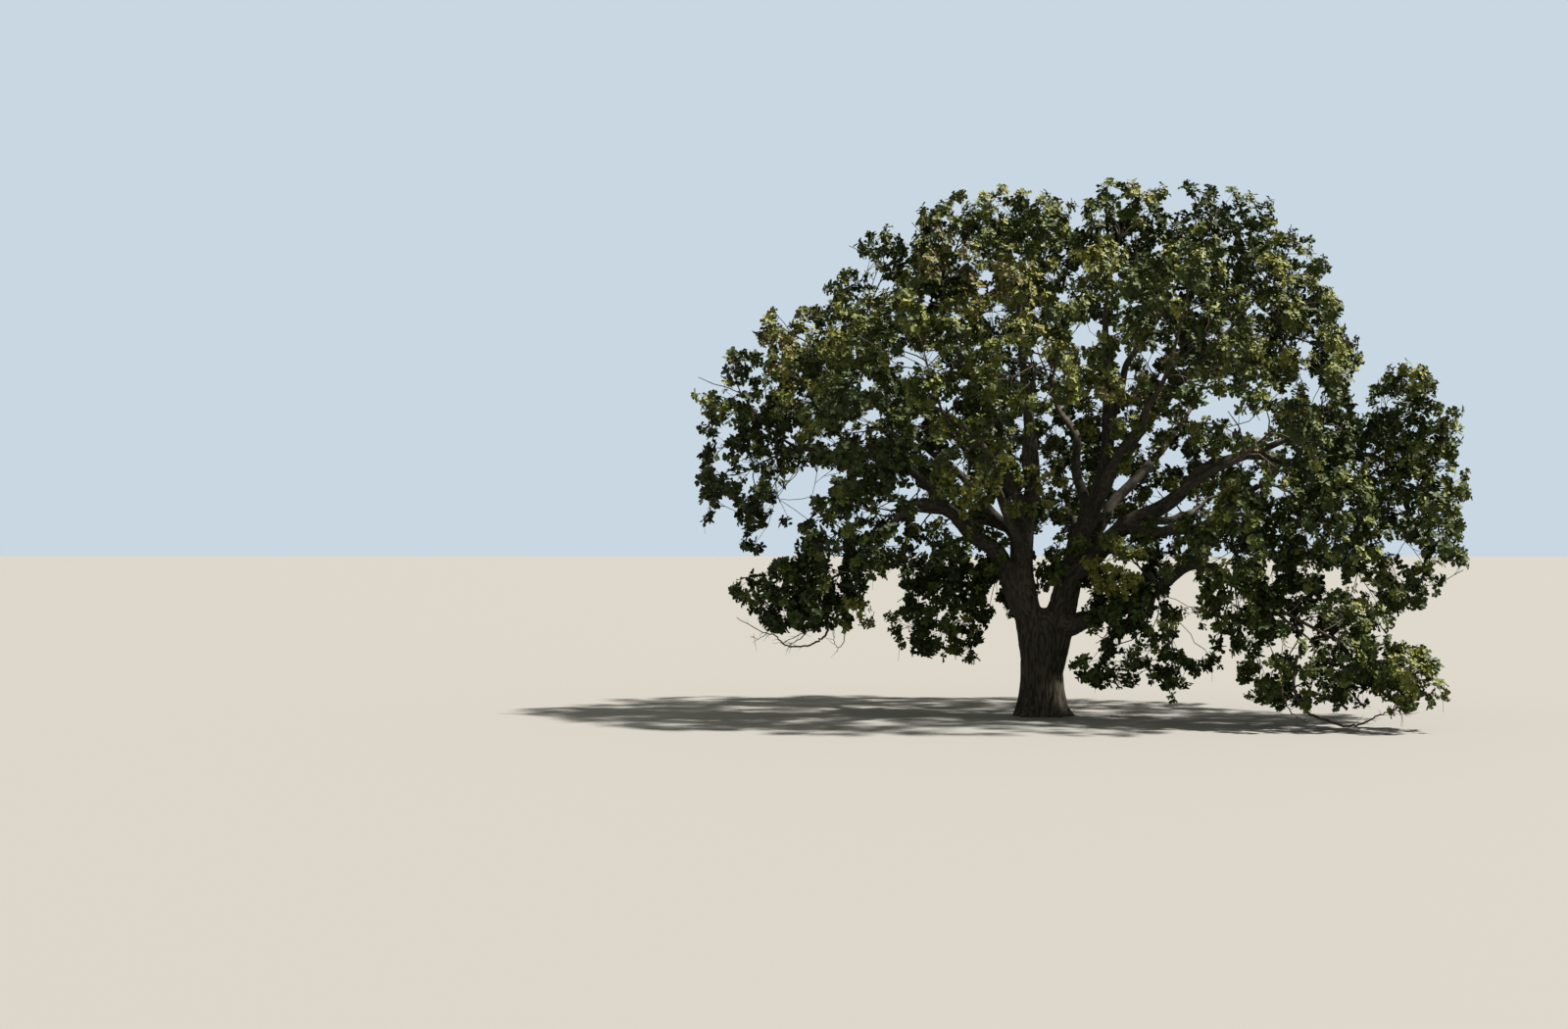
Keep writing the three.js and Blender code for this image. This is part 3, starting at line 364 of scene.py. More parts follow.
SPRIG_TUFTS = 3
SPRIG_REACH = 0.17
SPRIGS = [
    # the limb, where on it, tone, and the places of small leafy sprigs; a high tone is painted light
    ("leader_right", 0.24, -0.6, [(0.36, -0.1, 4.35), (0.22, 0.0, 4.0), (0.42, 0.1, 3.85),
        (0.1, 0.1, 3.6)]),
    # painted light: these sprigs stand in the crown's shade, and their high tone gives them yellow leaves
    # as if sunlit
    ("limb_right", 0.1, 3.0, [(1.5, -1.4, 3.8), (1.9, -1.5, 4.15), (2.45, -1.6, 3.95), (1.85, -1.6, 3.5),
        (2.3, -1.5, 3.55), (1.45, -1.3, 4.3), (2.75, -1.7, 4.35), (2.1, -1.7, 4.5)]),
    ("low_left", 0.35, -0.4, [(-1.65, 0.6, 3.9), (-1.25, 0.4, 3.35), (-1.75, 0.7, 3.25), (-0.95, 0.4, 3.0),
        (-1.5, 0.6, 2.8)]),
    ("low_right", 0.95, 0.2, [(5.35, -3.5, 1.5), (5.5, -3.6, 1.0), (5.9, -3.7, 0.8)]),
    ("middle_right", 0.45, 0.0, [(4.6, -2.2, 3.7), (4.75, -2.3, 3.3), (4.55, -2.3, 3.0)]),
    ("far_left", 0.95, -0.6, [(-7.9, 0.1, 5.5), (-8.1, 0.1, 4.7)]),
]

# Bare twigs that trail below the lowest masses: radius at the two ends, and the points
TRAILS = [
    (0.04, 0.01, [(-6.0, -1.1, 3.2), (-5.84, -1.3, 2.47), (-6.03, -1.3, 2.15), (-6.36, -1.3, 1.99),
        (-6.96, -1.3, 1.95), (-7.34, -1.3, 2.25), (-7.67, -1.3, 2.33), (-8.38, -1.3, 2.73)]),
    (0.022, 0.012, [(-6.3, -1.2, 3.1), (-6.35, -1.4, 2.53), (-6.56, -1.4, 2.2), (-6.94, -1.3, 1.96)]),
    (0.018, 0.01, [(-5.9, -1.1, 2.9), (-6.04, -1.2, 2.47), (-6.53, -1.2, 2.33), (-7.1, -1.3, 2.02)]),
    (0.016, 0.006, [(-5.4, -1.2, 3.3), (-5.39, -1.2, 2.2), (-5.58, -1.2, 1.9), (-5.69, -1.2, 2.15),
        (-5.74, -1.2, 2.6)]),
    (0.016, 0.006, [(-7.6, -1.3, 2.9), (-7.45, -1.35, 2.5), (-7.75, -1.3, 2.15), (-8.0, -1.25, 2.2)]),
    (0.05, 0.012, [(6.5, -3.9, 1.9), (6.38, -4.3, 1.02), (6.67, -4.4, 0.5), (6.99, -4.4, 0.34),
        (7.55, -4.4, 0.15), (7.84, -4.4, 0.15), (8.15, -4.4, 0.24), (8.49, -4.4, 0.44),
        (8.83, -4.35, 0.56), (8.93, -4.3, 0.95)]),
    (0.014, 0.006, [(8.7, -4.4, 0.5), (8.88, -4.3, 0.56), (9.06, -4.3, 0.43), (9.31, -4.3, 0.46)]),
    (0.03, 0.008, [(6.2, -3.8, 1.8), (6.08, -4.2, 1.0), (6.2, -4.2, 0.65), (6.4, -4.2, 0.38),
        (6.74, -4.2, 0.2)]),
    (0.018, 0.006, [(7.6, -4.2, 1.5), (7.63, -4.5, 0.95), (7.83, -4.5, 0.76), (8.24, -4.5, 0.62)]),
]
TRAIL_SHARES = (0.45, 0.98)  # where they carry thinner twigs, and how long those are
TRAIL_TWIG = (0.12, 0.38)
TRAIL_LOWEST = 0.05
TRAIL_SPREAD = 0.9
TRAIL_CROOK = 0.012
TRAIL_STEPS = 6  # from point to point

# Half of a leaf's outline, from the stalk round to the tip: with two lobes on the sprays that show
# best, and with one in the shade
LOBED_LEAF = [(0, 0), (0.33, 0.30), (0.19, 0.48), (0.44, 0.78), (0, 1.0)]
SHADE_LEAF = [(0, 0), (0.29, 0.34), (0.40, 0.70), (0, 1.0)]
LEAVES = 6  # of each spray
LEAF_LENGTH = (0.108, 0.186)
LEAF_WIDTH = 0.80  # of its length
LEAF_VARIETY = 0.05
LEAF_FOLD = 0.28
LEAF_CURL = 0.10
LEAF_TILT = (-0.10, 0.85)
LEAF_DROOP = 0.18
LEAF_BACK = (-0.10, 0.01)  # from the spray's end
LEAF_TURN = 0.45  # how much a leaf faces its own way
LEAF_SHINE = 0.22
OBLIQUE = np.array([0.3, 0.5, 0.81])  # what a leaf's or stalk's first side is square to
NEAR_Y = 0.8  # a tube that starts along Y is given the second of these sides, any other the first
FIRST_SIDES = np.array([[0.1, 1.0, 0.2], [1.0, 0.1, 0.2]])
SPRAY_KINDS = [
    # name, base colour, roughness, the tone up to which a spray is of this kind, leaf size, outline
    ("deep", (0.018, 0.029, 0.006), 0.64, -0.62, 1.26, SHADE_LEAF),
    ("green", (0.028, 0.044, 0.008), 0.62, 0.06, 1.12, SHADE_LEAF),
    ("olive", (0.047, 0.061, 0.010), 0.60, 0.60, 1.04, LOBED_LEAF),
    ("pale", (0.081, 0.096, 0.017), 0.58, 1.30, 0.97, LOBED_LEAF),
    ("yellow", (0.112, 0.116, 0.022), 0.58, 9.0, 0.94, LOBED_LEAF),
    ("tan", (0.096, 0.076, 0.030), 0.62, 99.0, 0.94, LOBED_LEAF),
]
# How much a spray's kind depends on its mass's tint, on its tuft's tone, on the light, and on chance.
# The light's share is painted light and shade, paler kinds near the crown's outside and darker ones deep
# inside it; the tints and tones carry painted light and shade too.
TINT_AND_LIGHT_SHARE = 1.5
TONE_SHARE = 0.60
LIT_SHARE = 1.6
KIND_CHANCE = 0.36
# Brown sprays: the middles of the patches in the plane of the trunk, their size, and their share
BROWN_PATCHES = [(-2.69, 12.98), (-7.36, 10.50), (-1.30, 12.20), (2.75, 9.30)]
BROWN_REACH = 0.75
BROWN_SHARE = 0.45

# Finish of the bark and of the twigs: the stops of a tone are its two ends, then what lies between
BARK_FINISH = ((0.1, 0.08, 0.06), 0.9, 0.25)
TWIG_FINISH = ((0.045, 0.037, 0.029), 0.85, 0.2)
# the bark is darkest in its furrows, partly its own colour and partly painted shade in the furrows
BARK_TONES = [(0, (0.006, 0.005, 0.004)), (1, (0.072, 0.065, 0.054)), (0.55, (0.024, 0.021, 0.017))]
BARK_PATCHES = [(0.35, (0.62, 0.66, 0.58)), (0.7, (1.15, 1.1, 1.05))]
PATCH_NOISE = (1.3, 6)  # scale and detail
GRAIN_NOISE = (28, 5)
GRAIN_STRETCH = (1, 1, 0.28)
GRAIN_SHARE = 0.42  # how much the grain and the relief count in the tone
RIDGE_SHARE, RIDGE_SHIFT = 0.62, -0.04
BARK_BUMP = (0.6, 0.02)  # strength and distance
TWIG_TONES = [(0.35, (0.020, 0.016, 0.012)), (0.68, (0.075, 0.063, 0.050))]
TWIG_NOISE = (9, 4)
TWIG_BUMP = (0.5, 0.01)


def catmull_rom(points, shares):
    """The curve through the points, as the source's, at each share of its parameter."""
    points = np.asarray(points, float)
    padded = np.vstack([2 * points[0] - points[1], points, 2 * points[-1] - points[-2]])
    span = shares * (len(points) - 1)
    k = np.minimum(span.astype(int), len(points) - 2)
    w = (span - k)[:, None]
    before, start, end, after = (padded[k + n] for n in range(4))
    leave = 0.5 * (end - before)
    arrive = 0.5 * (after - start)
    cubic = 2 * start - 2 * end + leave + arrive
    square = -3 * start + 3 * end - 2 * leave - arrive
    return ((cubic * w + square) * w + leave) * w + start


def unit(vectors):
    return vectors / np.maximum(np.linalg.norm(vectors, axis=-1, keepdims=True), 1e-9)


def sides_along(ahead, side):
    """A side square to a line's direction at each of its points, turned no more than it must be."""
    sides = np.empty_like(ahead)
    for k, direction in enumerate(ahead):
        side = unit(side - side.dot(direction) * direction)
        sides[k] = side
    return sides


class Limb:
    """A limb's middle line at even steps, with its radius, direction and two sides at each."""

    def __init__(self, curve, radii):
        steps = np.linalg.norm(np.diff(curve, axis=0), axis=1)
        run = np.concatenate([[0], np.cumsum(steps)])
        length = run[-1]
        self.along = np.linspace(0, length, max(3, int(length / LIMB_STEP) + 1))
        self.points = np.stack([np.interp(self.along, run, curve[:, k]) for k in range(3)], axis=1)
        self.radii = radii(self.along / length)
        self.ahead = unit(np.gradient(self.points, axis=0))
        self.side = sides_along(self.ahead, np.array([1.0, 0.0, 0.01]))
        self.across = np.cross(self.side, self.ahead)

    def at(self, share):
        """The point and radius at a share of the length."""
        k = share * (len(self.points) - 1)
        low = min(int(k), len(self.points) - 2)
        w = k - low
        return (1 - w) * self.points[low] + w * self.points[low + 1], self.radii[low]


def grow_boughs():
    """The limbs of all boughs: a crooked curve each, swollen where it leaves its parent."""
    limbs = {}
    shares = np.linspace(0, 1, CURVE_STEPS)
    for order, (name, (parent, root, via, tip, (thick, thin))) in enumerate(BOUGHS.items()):
        leader = parent == "trunk"
        inside = 0.0
        if not leader:
            root, inside = limbs[parent].at(root)
        line = catmull_rom([root, *via, tip], shares)
        length = np.linalg.norm(np.diff(line, axis=0), axis=1).sum()
        sway = (LEADER_CROOK if leader else CROOK) * length * np.sin(math.pi * shares)
        phase = CROOK_TURN * order
        waves = [rate * shares + turn * phase for rate, turn in CROOK_WAVES]
        line[:, 0] += sway * np.sin(waves[0])
        line[:, 1] += sway * np.cos(waves[1])
        line[:, 2] += CROOK_RISE * sway * np.sin(waves[2])

        def radii(share):
            plain = thin + (thick - thin) * (1 - share) ** (LEADER_TAPER if leader else BOUGH_TAPER)
            past = np.maximum(share * length - inside, 0)
            if leader:
                return plain * (1 + FORK_SWELL * np.exp(-(((past - FORK_ALONG) / FORK_SPREAD) ** 2)))
            return plain * (1 + COLLAR * np.exp(-past / (COLLAR_LENGTH * thick)))

        limbs[name] = Limb(line, radii)
    return limbs


def rings_round(points, radii, side, across, sides):
    """A ring of corners round each point."""
    turn = np.arange(sides) * math.tau / sides
    ring = np.cos(turn)[:, None] * side[:, None] + np.sin(turn)[:, None] * across[:, None]
    return points[:, None] + radii[:, None, None] * ring


def quads_between(rings, sides):
    """The faces from ring to ring, with four corners each."""
    k = np.arange(sides)
    after = (k + 1) % sides
    base = np.arange(rings - 1)[:, None] * sides
    corners = [base + k, base + after, base + sides + after, base + sides + k]
    return np.stack(corners, axis=-1).reshape(-1, 4)


def closed_faces(rings, sides):
    """The faces of a tube whose two ends are closed."""
    start = list(range(sides))
    end = [(rings - 1) * sides + k for k in start]
    return quads_between(rings, sides).tolist() + [start[::-1], end]


def column_radius(height, angle):
    """The trunk's radius, with root flare, buttresses and small toes."""
    up = np.maximum(height, 0)
    flare = np.exp(-up / FLARE_HEIGHT)
    swell = np.clip((up - WAIST_HEIGHT) / (SHOULDER_HEIGHT - WAIST_HEIGHT), 0, 1)
    buttress = np.cos(BUTTRESSES * angle + BUTTRESS_UNEVEN * np.sin(2 * angle))
    toe = np.cos(TOES * angle + TOE_UNEVEN * np.sin(3 * angle))
    toes = TOE * np.exp(-up / TOE_HEIGHT) * toe
    radius = WAIST_RADIUS + (SHOULDER_RADIUS - WAIST_RADIUS) * swell
    radius = radius + flare * (FLARE + BUTTRESS * buttress) + toes
    low, high = CREASE_HEIGHTS
    deepening = np.clip((up - low) / (high - low), 0, 1)
    for middle in CREASE_ANGLES:
        apart = np.abs((angle - middle + math.pi) % math.tau - math.pi)
        radius = radius - CREASE * deepening * np.exp(-((apart / CREASE_WIDTH) ** 2))
    over = np.maximum(0, (up - SHOULDER_HEIGHT) / (TRUNK_TOP - SHOULDER_HEIGHT))
    return radius * np.sqrt(1 - SHOULDER_ROUNDING * over * over)


def column():
    """The trunk's column below its forks."""
    height = np.linspace(-TRUNK_BURIED, TRUNK_TOP, COLUMN_RINGS)[:, None]
    angle = np.arange(COLUMN_SIDES) * math.tau / COLUMN_SIDES
    radius = column_radius(height, angle)
    share = height / TRUNK_TOP
    x = radius * np.cos(angle) + TRUNK_LEAN[0] * share
    y = radius * np.sin(angle) + TRUNK_LEAN[1] * share
    corners = np.stack([x, y, np.broadcast_to(height, x.shape)], axis=-1).reshape(-1, 3)
    return corners, closed_faces(COLUMN_RINGS, COLUMN_SIDES)


def trunk_limb():
    """The trunk's middle line, for the direction of its bark."""
    height = np.linspace(-TRUNK_BURIED, TRUNK_TOP, TRUNK_STEPS)
    line = np.stack([*(lean * height / TRUNK_TOP for lean in TRUNK_LEAN), height], axis=1)
    return Limb(line, lambda share: np.full(len(share), WAIST_RADIUS))


def new_mesh(name, vertices, faces):
    mesh = bpy.data.meshes.new(name)
    mesh.from_pydata(vertices, [], faces)
    mesh.update()
    return mesh


def move_vertices(mesh, places):
    mesh.vertices.foreach_set("co", places.astype(np.float32).ravel())
    mesh.update()


def triangle_mesh(vertices, triangles):
    """A mesh from arrays of corners and of triangles."""
    mesh = bpy.data.meshes.new("triangles")
    mesh.vertices.add(len(vertices))
    mesh.vertices.foreach_set("co", vertices.astype(np.float32).ravel())
    mesh.loops.add(3 * len(triangles))
    mesh.loops.foreach_set("vertex_index", triangles.astype(np.int32).ravel())
    mesh.polygons.add(len(triangles))
    mesh.polygons.foreach_set("loop_start", np.arange(0, 3 * len(triangles), 3, dtype=np.int32))
    mesh.update(calc_edges=True)
    return mesh


def read(items, name, width, kind=np.float32):
    """A property of all of a mesh's items, a row for each."""
    found = np.empty(width * len(items), kind)
    items.foreach_get(name, found)
    return found.reshape(-1, width)


def with_settings(thing, **settings):
    for key, value in settings.items():
        setattr(thing, key, value)
    return thing


def add_object(name, data):
    made = bpy.data.objects.new(name, data)
    bpy.context.scene.collection.objects.link(made)
    return made


def with_modifier(mesh, kind, **settings):
    """The mesh as one modifier leaves it."""
    carrier = add_object("carrier", mesh)
    with_settings(carrier.modifiers.new("m", kind), **settings)
    made = bpy.data.meshes.new_from_object(carrier.evaluated_get(bpy.context.evaluated_depsgraph_get()))
    bpy.data.objects.remove(carrier)
    return made


def softened(mesh):
    """Vertices drawn towards the mean of their neighbours, and more often round the fork."""
    co = read(mesh.vertices, "co", 3).astype(float)
    a, b = read(mesh.edges, "vertices", 2, np.int32).T
    degree = np.bincount(a, minlength=len(co)) + np.bincount(b, minlength=len(co))
    share = 0.5
    for turn in range(SOFTENINGS + FORK_SOFTENINGS):
        total = np.stack([
            np.bincount(a, co[b, k], len(co)) + np.bincount(b, co[a, k], len(co)) for k in range(3)
        ], axis=1)
        if turn == SOFTENINGS:
            apart = np.linalg.norm(co - FORK_MIDDLE, axis=1) / FORK_REACH
            share = 0.5 * np.exp(-apart ** 4)[:, None]
        co += share * (total / degree[:, None] - co)
    return co


def all_samples(limbs, name):
    """A property of the samples of all the limbs, one limb after the other."""
    return np.concatenate([getattr(limb, name) for limb in limbs])


def nearest_samples(points, limbs):
    """For each point the limb sample whose surface is nearest, as an index into all samples."""
    middles = all_samples(limbs, "points").astype(np.float32)
    radii = all_samples(limbs, "radii").astype(np.float32)
    squares = (middles ** 2).sum(axis=1)
    found = np.empty(len(points), int)
    for start in range(0, len(points), POINTS_AT_ONCE):
        own = slice(start, start + POINTS_AT_ONCE)
        part = points[own].astype(np.float32)
        apart = (part ** 2).sum(axis=1)[:, None] + squares - 2 * part @ middles.T
        found[own] = np.argmin(np.sqrt(np.maximum(apart, 0)) - radii, axis=1)
    return found


def lobes(points, size=1.0):
    """Smooth noise from about -1 to 1 at each point, with lobes of a size."""
    spots = points.reshape(-1, 3) / size
    return np.array([noise.noise(spot) for spot in spots]).reshape(points.shape[:-1])


def bark_heights(points, limbs):
    """How far each point of the bark stands out, from 0 in a furrow to 1 on a plate, and the depth
    of the furrows there."""
    found = nearest_samples(points, limbs)
    properties = ("points", "radii", "side", "across", "along")
    middle, radius, side, across, along = (all_samples(limbs, name)[found] for name in properties)
    limb = np.repeat(np.arange(len(limbs)), [len(limb.points) for limb in limbs])[found]
    out = points - middle
    width = np.clip(PLATE_SHARE * radius, LEAST_PLATE, PLATE_WIDTH)
    spots = np.stack([
        (out * side).sum(axis=1) / width,
        (out * across).sum(axis=1) / width,
        along / (width * PLATE_STRETCH) + LIMB_SHIFT * limb,
    ], axis=1)
    plates = np.clip(np.abs(lobes(spots)) / FURROW_EDGE, 0, 1) ** FURROW_POWER
    cracks = np.clip(np.abs(lobes(spots * CRACK_STRETCH + CRACK_SHIFT)) / CRACK_EDGE, 0, 1)
    height = plates * (CRACK_LEVEL + CRACK_RISE * cracks)
    return height, np.minimum(FURROW_DEPTH, FURROW_SHARE * radius)


def cut_at_ground(mesh):
    """The part above the ground, closed flat, in triangles."""
    solid = bmesh.new()
    solid.from_mesh(mesh)
    everything = [*solid.verts, *solid.edges, *solid.faces]
    cut = bmesh.ops.bisect_plane(solid, geom=everything, plane_co=(0, 0, 0), plane_no=UP, clear_inner=True)
    rim = [piece for piece in cut["geom_cut"] if isinstance(piece, bmesh.types.BMEdge)]
    bmesh.ops.holes_fill(solid, edges=rim, sides=0)
    bmesh.ops.triangulate(solid, faces=solid.faces)
    solid.to_mesh(mesh)
    solid.free()


def bark_mesh(limbs):
    """Trunk and boughs as one skin, swollen together where they meet, with the bark's relief."""
    corners, faces = column()
    parts, count = [corners], len(corners)
    for limb in limbs.values():
        rings = rings_round(limb.points, limb.radii, limb.side, limb.across, LIMB_SIDES)
        faces += [[n + count for n in face] for face in closed_faces(len(rings), LIMB_SIDES)]
        parts.append(rings.reshape(-1, 3))
        count += len(parts[-1])
    skin = new_mesh("bark", np.concatenate(parts), faces)
    skin = with_modifier(skin, "REMESH", mode="VOXEL", voxel_size=VOXEL)
    points = softened(skin)
    move_vertices(skin, points)
    normals = read(skin.vertex_normals, "vector", 3)
    height, depth = bark_heights(points, [trunk_limb(), *limbs.values()])
    move_vertices(skin, points + normals * ((height - RELIEF_LEVEL) * depth)[:, None])
    # the relief, kept for the bark's colour, whose darkening in the furrows is partly painted shade
    skin.attributes.new("ridge", "FLOAT", "POINT").data.foreach_set("value", height.astype(np.float32))
    skin = with_modifier(skin, "DECIMATE", ratio=BARK_TRIANGLES / (2 * len(skin.polygons)))
    cut_at_ground(skin)
    skin.shade_smooth()
    return skin


def depths(points):
    """How deep each point is in the space of each mass: under 1 is inside."""
    return (((points[..., None, :] - MIDDLES) / REACHES) ** 2).sum(axis=-1)


def in_space(points, order, edge=1.0):
    """Whether each point is in a mass's own space: inside it, and no nearer to a neighbour's."""
    deep = depths(points)
    own = deep[..., order].copy()
    deep[..., order] = np.inf
    return (own <= edge * edge) & (own < deep.min(axis=-1)) & (points[..., 2] > GROUND_CLEARANCE)


def open_shares(order, directions):
    """How far a ray from the middle of a mass stays in its own space, as a share of its reach."""
    steps = np.arange(1, MARCH_STEPS + 1) / MARCH_STEPS
    rays = MIDDLES[order] + directions[:, None, :] * REACHES[order] * steps[None, :, None]
    inside = in_space(rays, order)
    return np.where(inside.all(axis=1), MARCH_STEPS, np.argmin(inside, axis=1)) / MARCH_STEPS


def spiral(count, turn):
    """Directions spread evenly all round on a golden spiral."""
    place = np.arange(count)
    height = 1 - 2 * (place + 0.5) / count
    angle = turn + GOLDEN_ANGLE * place
    around = np.sqrt(1 - height * height)
    return np.stack([around * np.cos(angle), around * np.sin(angle), height], axis=1)


ALL_ROUND = spiral(WAYS_ROUND, 0.0)


def light_at(points, reach):
    """The share of the ways round each point that leave the crown within a reach."""
    tests = points[..., None, :] + ALL_ROUND * reach
    outside = depths(tests).min(axis=-1) > 1
    return (outside & (tests[..., 2] > 0)).mean(axis=-1)


def across_trunk(points):
    """Where the line from the viewer through each point meets the plane of the trunk."""
    return VIEWER + (points - VIEWER) * (-VIEWER[1] / (points[..., 1:2] - VIEWER[1]))


def in_outline(points):
    """Whether each point is in line with one of the masses, seen from where the viewer stands."""
    apart = across_trunk(points)[..., None, :] - across_trunk(MIDDLES)
    apart /= REACHES * (-VIEWER[1] / (MIDDLES[:, 1:2] - VIEWER[1]))
    return ((apart[..., 0] ** 2 + apart[..., 2] ** 2) < OUTLINE_SHARE).any(axis=-1)


def in_gap(points):
    """Whether each point is seen in one of the gaps of light, from where the viewer stands."""
    seen = across_trunk(points)
    found = np.zeros(points.shape[:-1], bool)
    edge = 1.0 + GAP_EDGE * lobes(seen, GAP_RAGGED)
    for x, z, width, height in LIGHT_GAPS + NOTCHES:
        found |= ((seen[..., 0] - x) / width) ** 2 + ((seen[..., 2] - z) / height) ** 2 < edge
    return found | (lobes(seen * np.array([1.0, 0.0, 1.0]), SMALL_GAP) > SMALL_GAP_LEVEL)


def crown_shares(points):
    """How far out each point is in the whole crown, squared: under 1 is inside."""
    return (((points - CROWN_MIDDLE) / CROWN_REACH) ** 2).sum(axis=-1)


def ragged(points):
    """How far a mass's edge moves out or in at each point, so that it is ragged."""
    return TUFT_RAGGED * lobes(points, LOBE)


def in_mass(order):
    """The test of whether points are in the mass's space, with a ragged edge."""
    return lambda points: in_space(points, order, TUFT_EDGE * (1 + ragged(points)))


def between_masses(points):
    """Whether points are near the crown's space and clear of the middles of its masses."""
    deep = depths(points).min(axis=-1)
    inside = crown_shares(points) < BETWEEN_SHARES[1] * (BETWEEN_EDGE + ragged(points))
    return (inside & in_outline(points) & (deep > BETWEEN_CLEAR)) | (np.abs(deep - 1) < BETWEEN_RIM)


def random_units(count):
    return unit(rng.normal(size=(count, 3)))


def random_way():
    return random_units(1)[0]


def bent(start, leave, end, arrive, count):
    """A branch's line from start to end, leaving and arriving along two directions."""
    reach = np.linalg.norm(end - start)
    first = start + BEND * reach * leave
    second = end - BEND * reach * arrive
    t = np.linspace(0, 1, count)[:, None]
    line = (1 - t) ** 3 * start + 3 * (1 - t) ** 2 * t * first
    line = line + 3 * (1 - t) * t ** 2 * second + t ** 3 * end
    wobble = rng.normal(size=(count, 3)) * WOBBLE * reach
    return line + wobble * np.sin(math.pi * t)


def stem_of(order, limb):
    """The stem that runs on from the bough's tip into the middle of the mass."""
    bough = MASSES[NAMES[order]][0]
    carried = sum(mass[0] == bough for mass in MASSES.values())
    tip, ahead = limb.points[-1], limb.ahead[-1]
    radius = limb.radii[-1] * (STEM_ALONE if carried == 1 else STEM_SHARED)
    bend = tip + STEM_BEND * np.linalg.norm(MIDDLES[order] - tip) * ahead
    t = np.linspace(0, 1, STEM_POINTS)[:, None]
    line = (1 - t) ** 2 * (tip - STEM_SUNK * ahead) + 2 * (1 - t) * t * bend + t ** 2 * MIDDLES[order]
    return line, radius


class Samples:
    """Points that branches may grow from, each with its direction and radius."""

    def __init__(self):
        self.points = np.empty((0, 3))
        self.ahead = np.empty((0, 3))
        self.radii = np.empty(0)

    def add(self, points, radii):
        self.points = np.vstack([self.points, points])
        self.ahead = np.vstack([self.ahead, unit(np.gradient(points, axis=0))])
        self.radii = np.concatenate([self.radii, radii])

    def add_limb(self, limb, share):
        """The outer part of a limb, from a share of its length on."""
        outer = slice(int(share * len(limb.points)), len(limb.points), 3)
        self.add(limb.points[outer], limb.radii[outer])

    def best(self, end):
        """The sample from which a branch to the end is shortest and least bent back."""
        way = end - self.points
        apart = np.linalg.norm(way, axis=1)
        facing = (way * self.ahead).sum(axis=1) / np.maximum(apart, 1e-6)
        return np.argmin(apart * (ACROSS_COST - AHEAD_GAIN * facing) + NEAR_COST * (apart < NEAR))


class Crown:
    """What has grown so far: tubes of wood, tufts, the shaded sprays inside the lumps, and samples to
    grow on from. A tuft has a place, a direction, its mass, its size and its tone."""

    def __init__(self, limbs):
        self.tubes, self.tufts, self.cores = [], [], []
        self.samples = Samples()
        for limb in limbs.values():
            self.samples.add_limb(limb, BARE_SHARE)

    def add_wood(self, points, ends, sides=TWIG_SIDES):
        """A tapering branch through the points, with the radius at its two ends."""
        thick, thin = ends
        self.tubes.append((points, thick + (thin - thick) * np.linspace(0, 1, len(points)), sides))

    def branch_to(self, samples, end, outward, longest=np.inf):
        """A branch from the best of the samples to an end, if it isn't too long."""
        root = samples.best(end)
        start = samples.points[root]
        reach = np.linalg.norm(end - start)
        if reach > longest:
            return None
        way = unit(end - start)
        arrive = unit(outward + ARRIVE_STRAIGHT * way + ARRIVE_UP * UP)
        leave = unit(samples.ahead[root] + LEAVE_STRAIGHT * way)
        line = bent(start, leave, end, arrive, max(4, int(reach / BRANCH_STEP)))
        least, growth = BRANCH_GROWTH
        thick = min(BRANCH_OF_PARENT * samples.radii[root], least + growth * reach)
        self.add_wood(line, (thick, BRANCH_TIP), BRANCH_SIDES)
        samples.add(line[1:], np.linspace(thick, BRANCH_TIP, len(line) - 1))
        return line


def grow_lump(order, branch, outward, allowed, crown):
    """Tufts in a dome round a branch's end, each on its own twig, over a core of sprays whose darker tone
    is painted shade.
    """
    end = branch[-1]
    tone = rng.normal()
    ways = spiral(TUFTS, math.tau * rng.random())
    ways = unit(ways + TUFT_JITTER * random_units(TUFTS))
    ways = ways[(ways * unit(outward + LIFT * UP)).sum(axis=1) > DOME_EDGE]
    places = end + ways * rng.uniform(*TUFT_REACH, len(ways))[:, None]
    keep = allowed(places) & ~in_gap(places)
    for place, way in zip(places[keep], ways[keep]):
        root = max(1, np.argmin(np.linalg.norm(branch - place, axis=1)) - 1)
        leave = unit(branch[root] - branch[root - 1])
        crown.add_wood(bent(branch[root], unit(leave + TUFT_STRAIGHT * way), place, way, 4), TUFT_TWIG)
        # painted highlight: a tuft that faces the sun is given a paler tone
        crown.tufts.append((place, way, order, 1.0, tone + PAINTED_SUN_TONE * way.dot(SUNWARD)))
    full = keep.sum() >= CORE_LEAST_TUFTS
    ways = random_units(CORE_SPRAYS)
    places = end + ways * (CORE_REACH * rng.random(CORE_SPRAYS) ** 0.5)[:, None]
    keep = allowed(places) & ~in_gap(places) & full
    for place, way in zip(places[keep], ways[keep]):
        # painted shade: the core sprays take a darker tone
        crown.cores.append((place, unit(way + outward), end, order, tone + PAINTED_CORE_SHADE))


def hang_strand(order, branch, crown):
    """A thin twig that hangs from a branch's end, with a small tuft at some of its joints."""
    tone = rng.normal()
    ahead = unit(branch[-1] - branch[-2])
    length = rng.uniform(*STRAND_LENGTH)
    swing = ahead * np.array([1, 1, 0]) * STRAND_SWING * length
    end = branch[-1] + swing - length * UP
    if end[2] < GROUND_CLEARANCE:
        return
    line = bent(branch[-1], ahead, end, -UP, STRAND_POINTS)
    places = line[STRAND_JOINTS]
    places[:, :2] += STRAND_JITTER * rng.normal(size=(len(places), 2))
    if not in_space(places[:1], order, STRAND_EDGE)[0] or in_gap(places).any():
        return
    crown.add_wood(line, STRAND)
    for place in places[in_space(places, order, STRAND_EDGE)]:
        crown.tufts.append((place, unit(random_way() - STRAND_HANG * UP), order, STRAND_TUFT, tone))


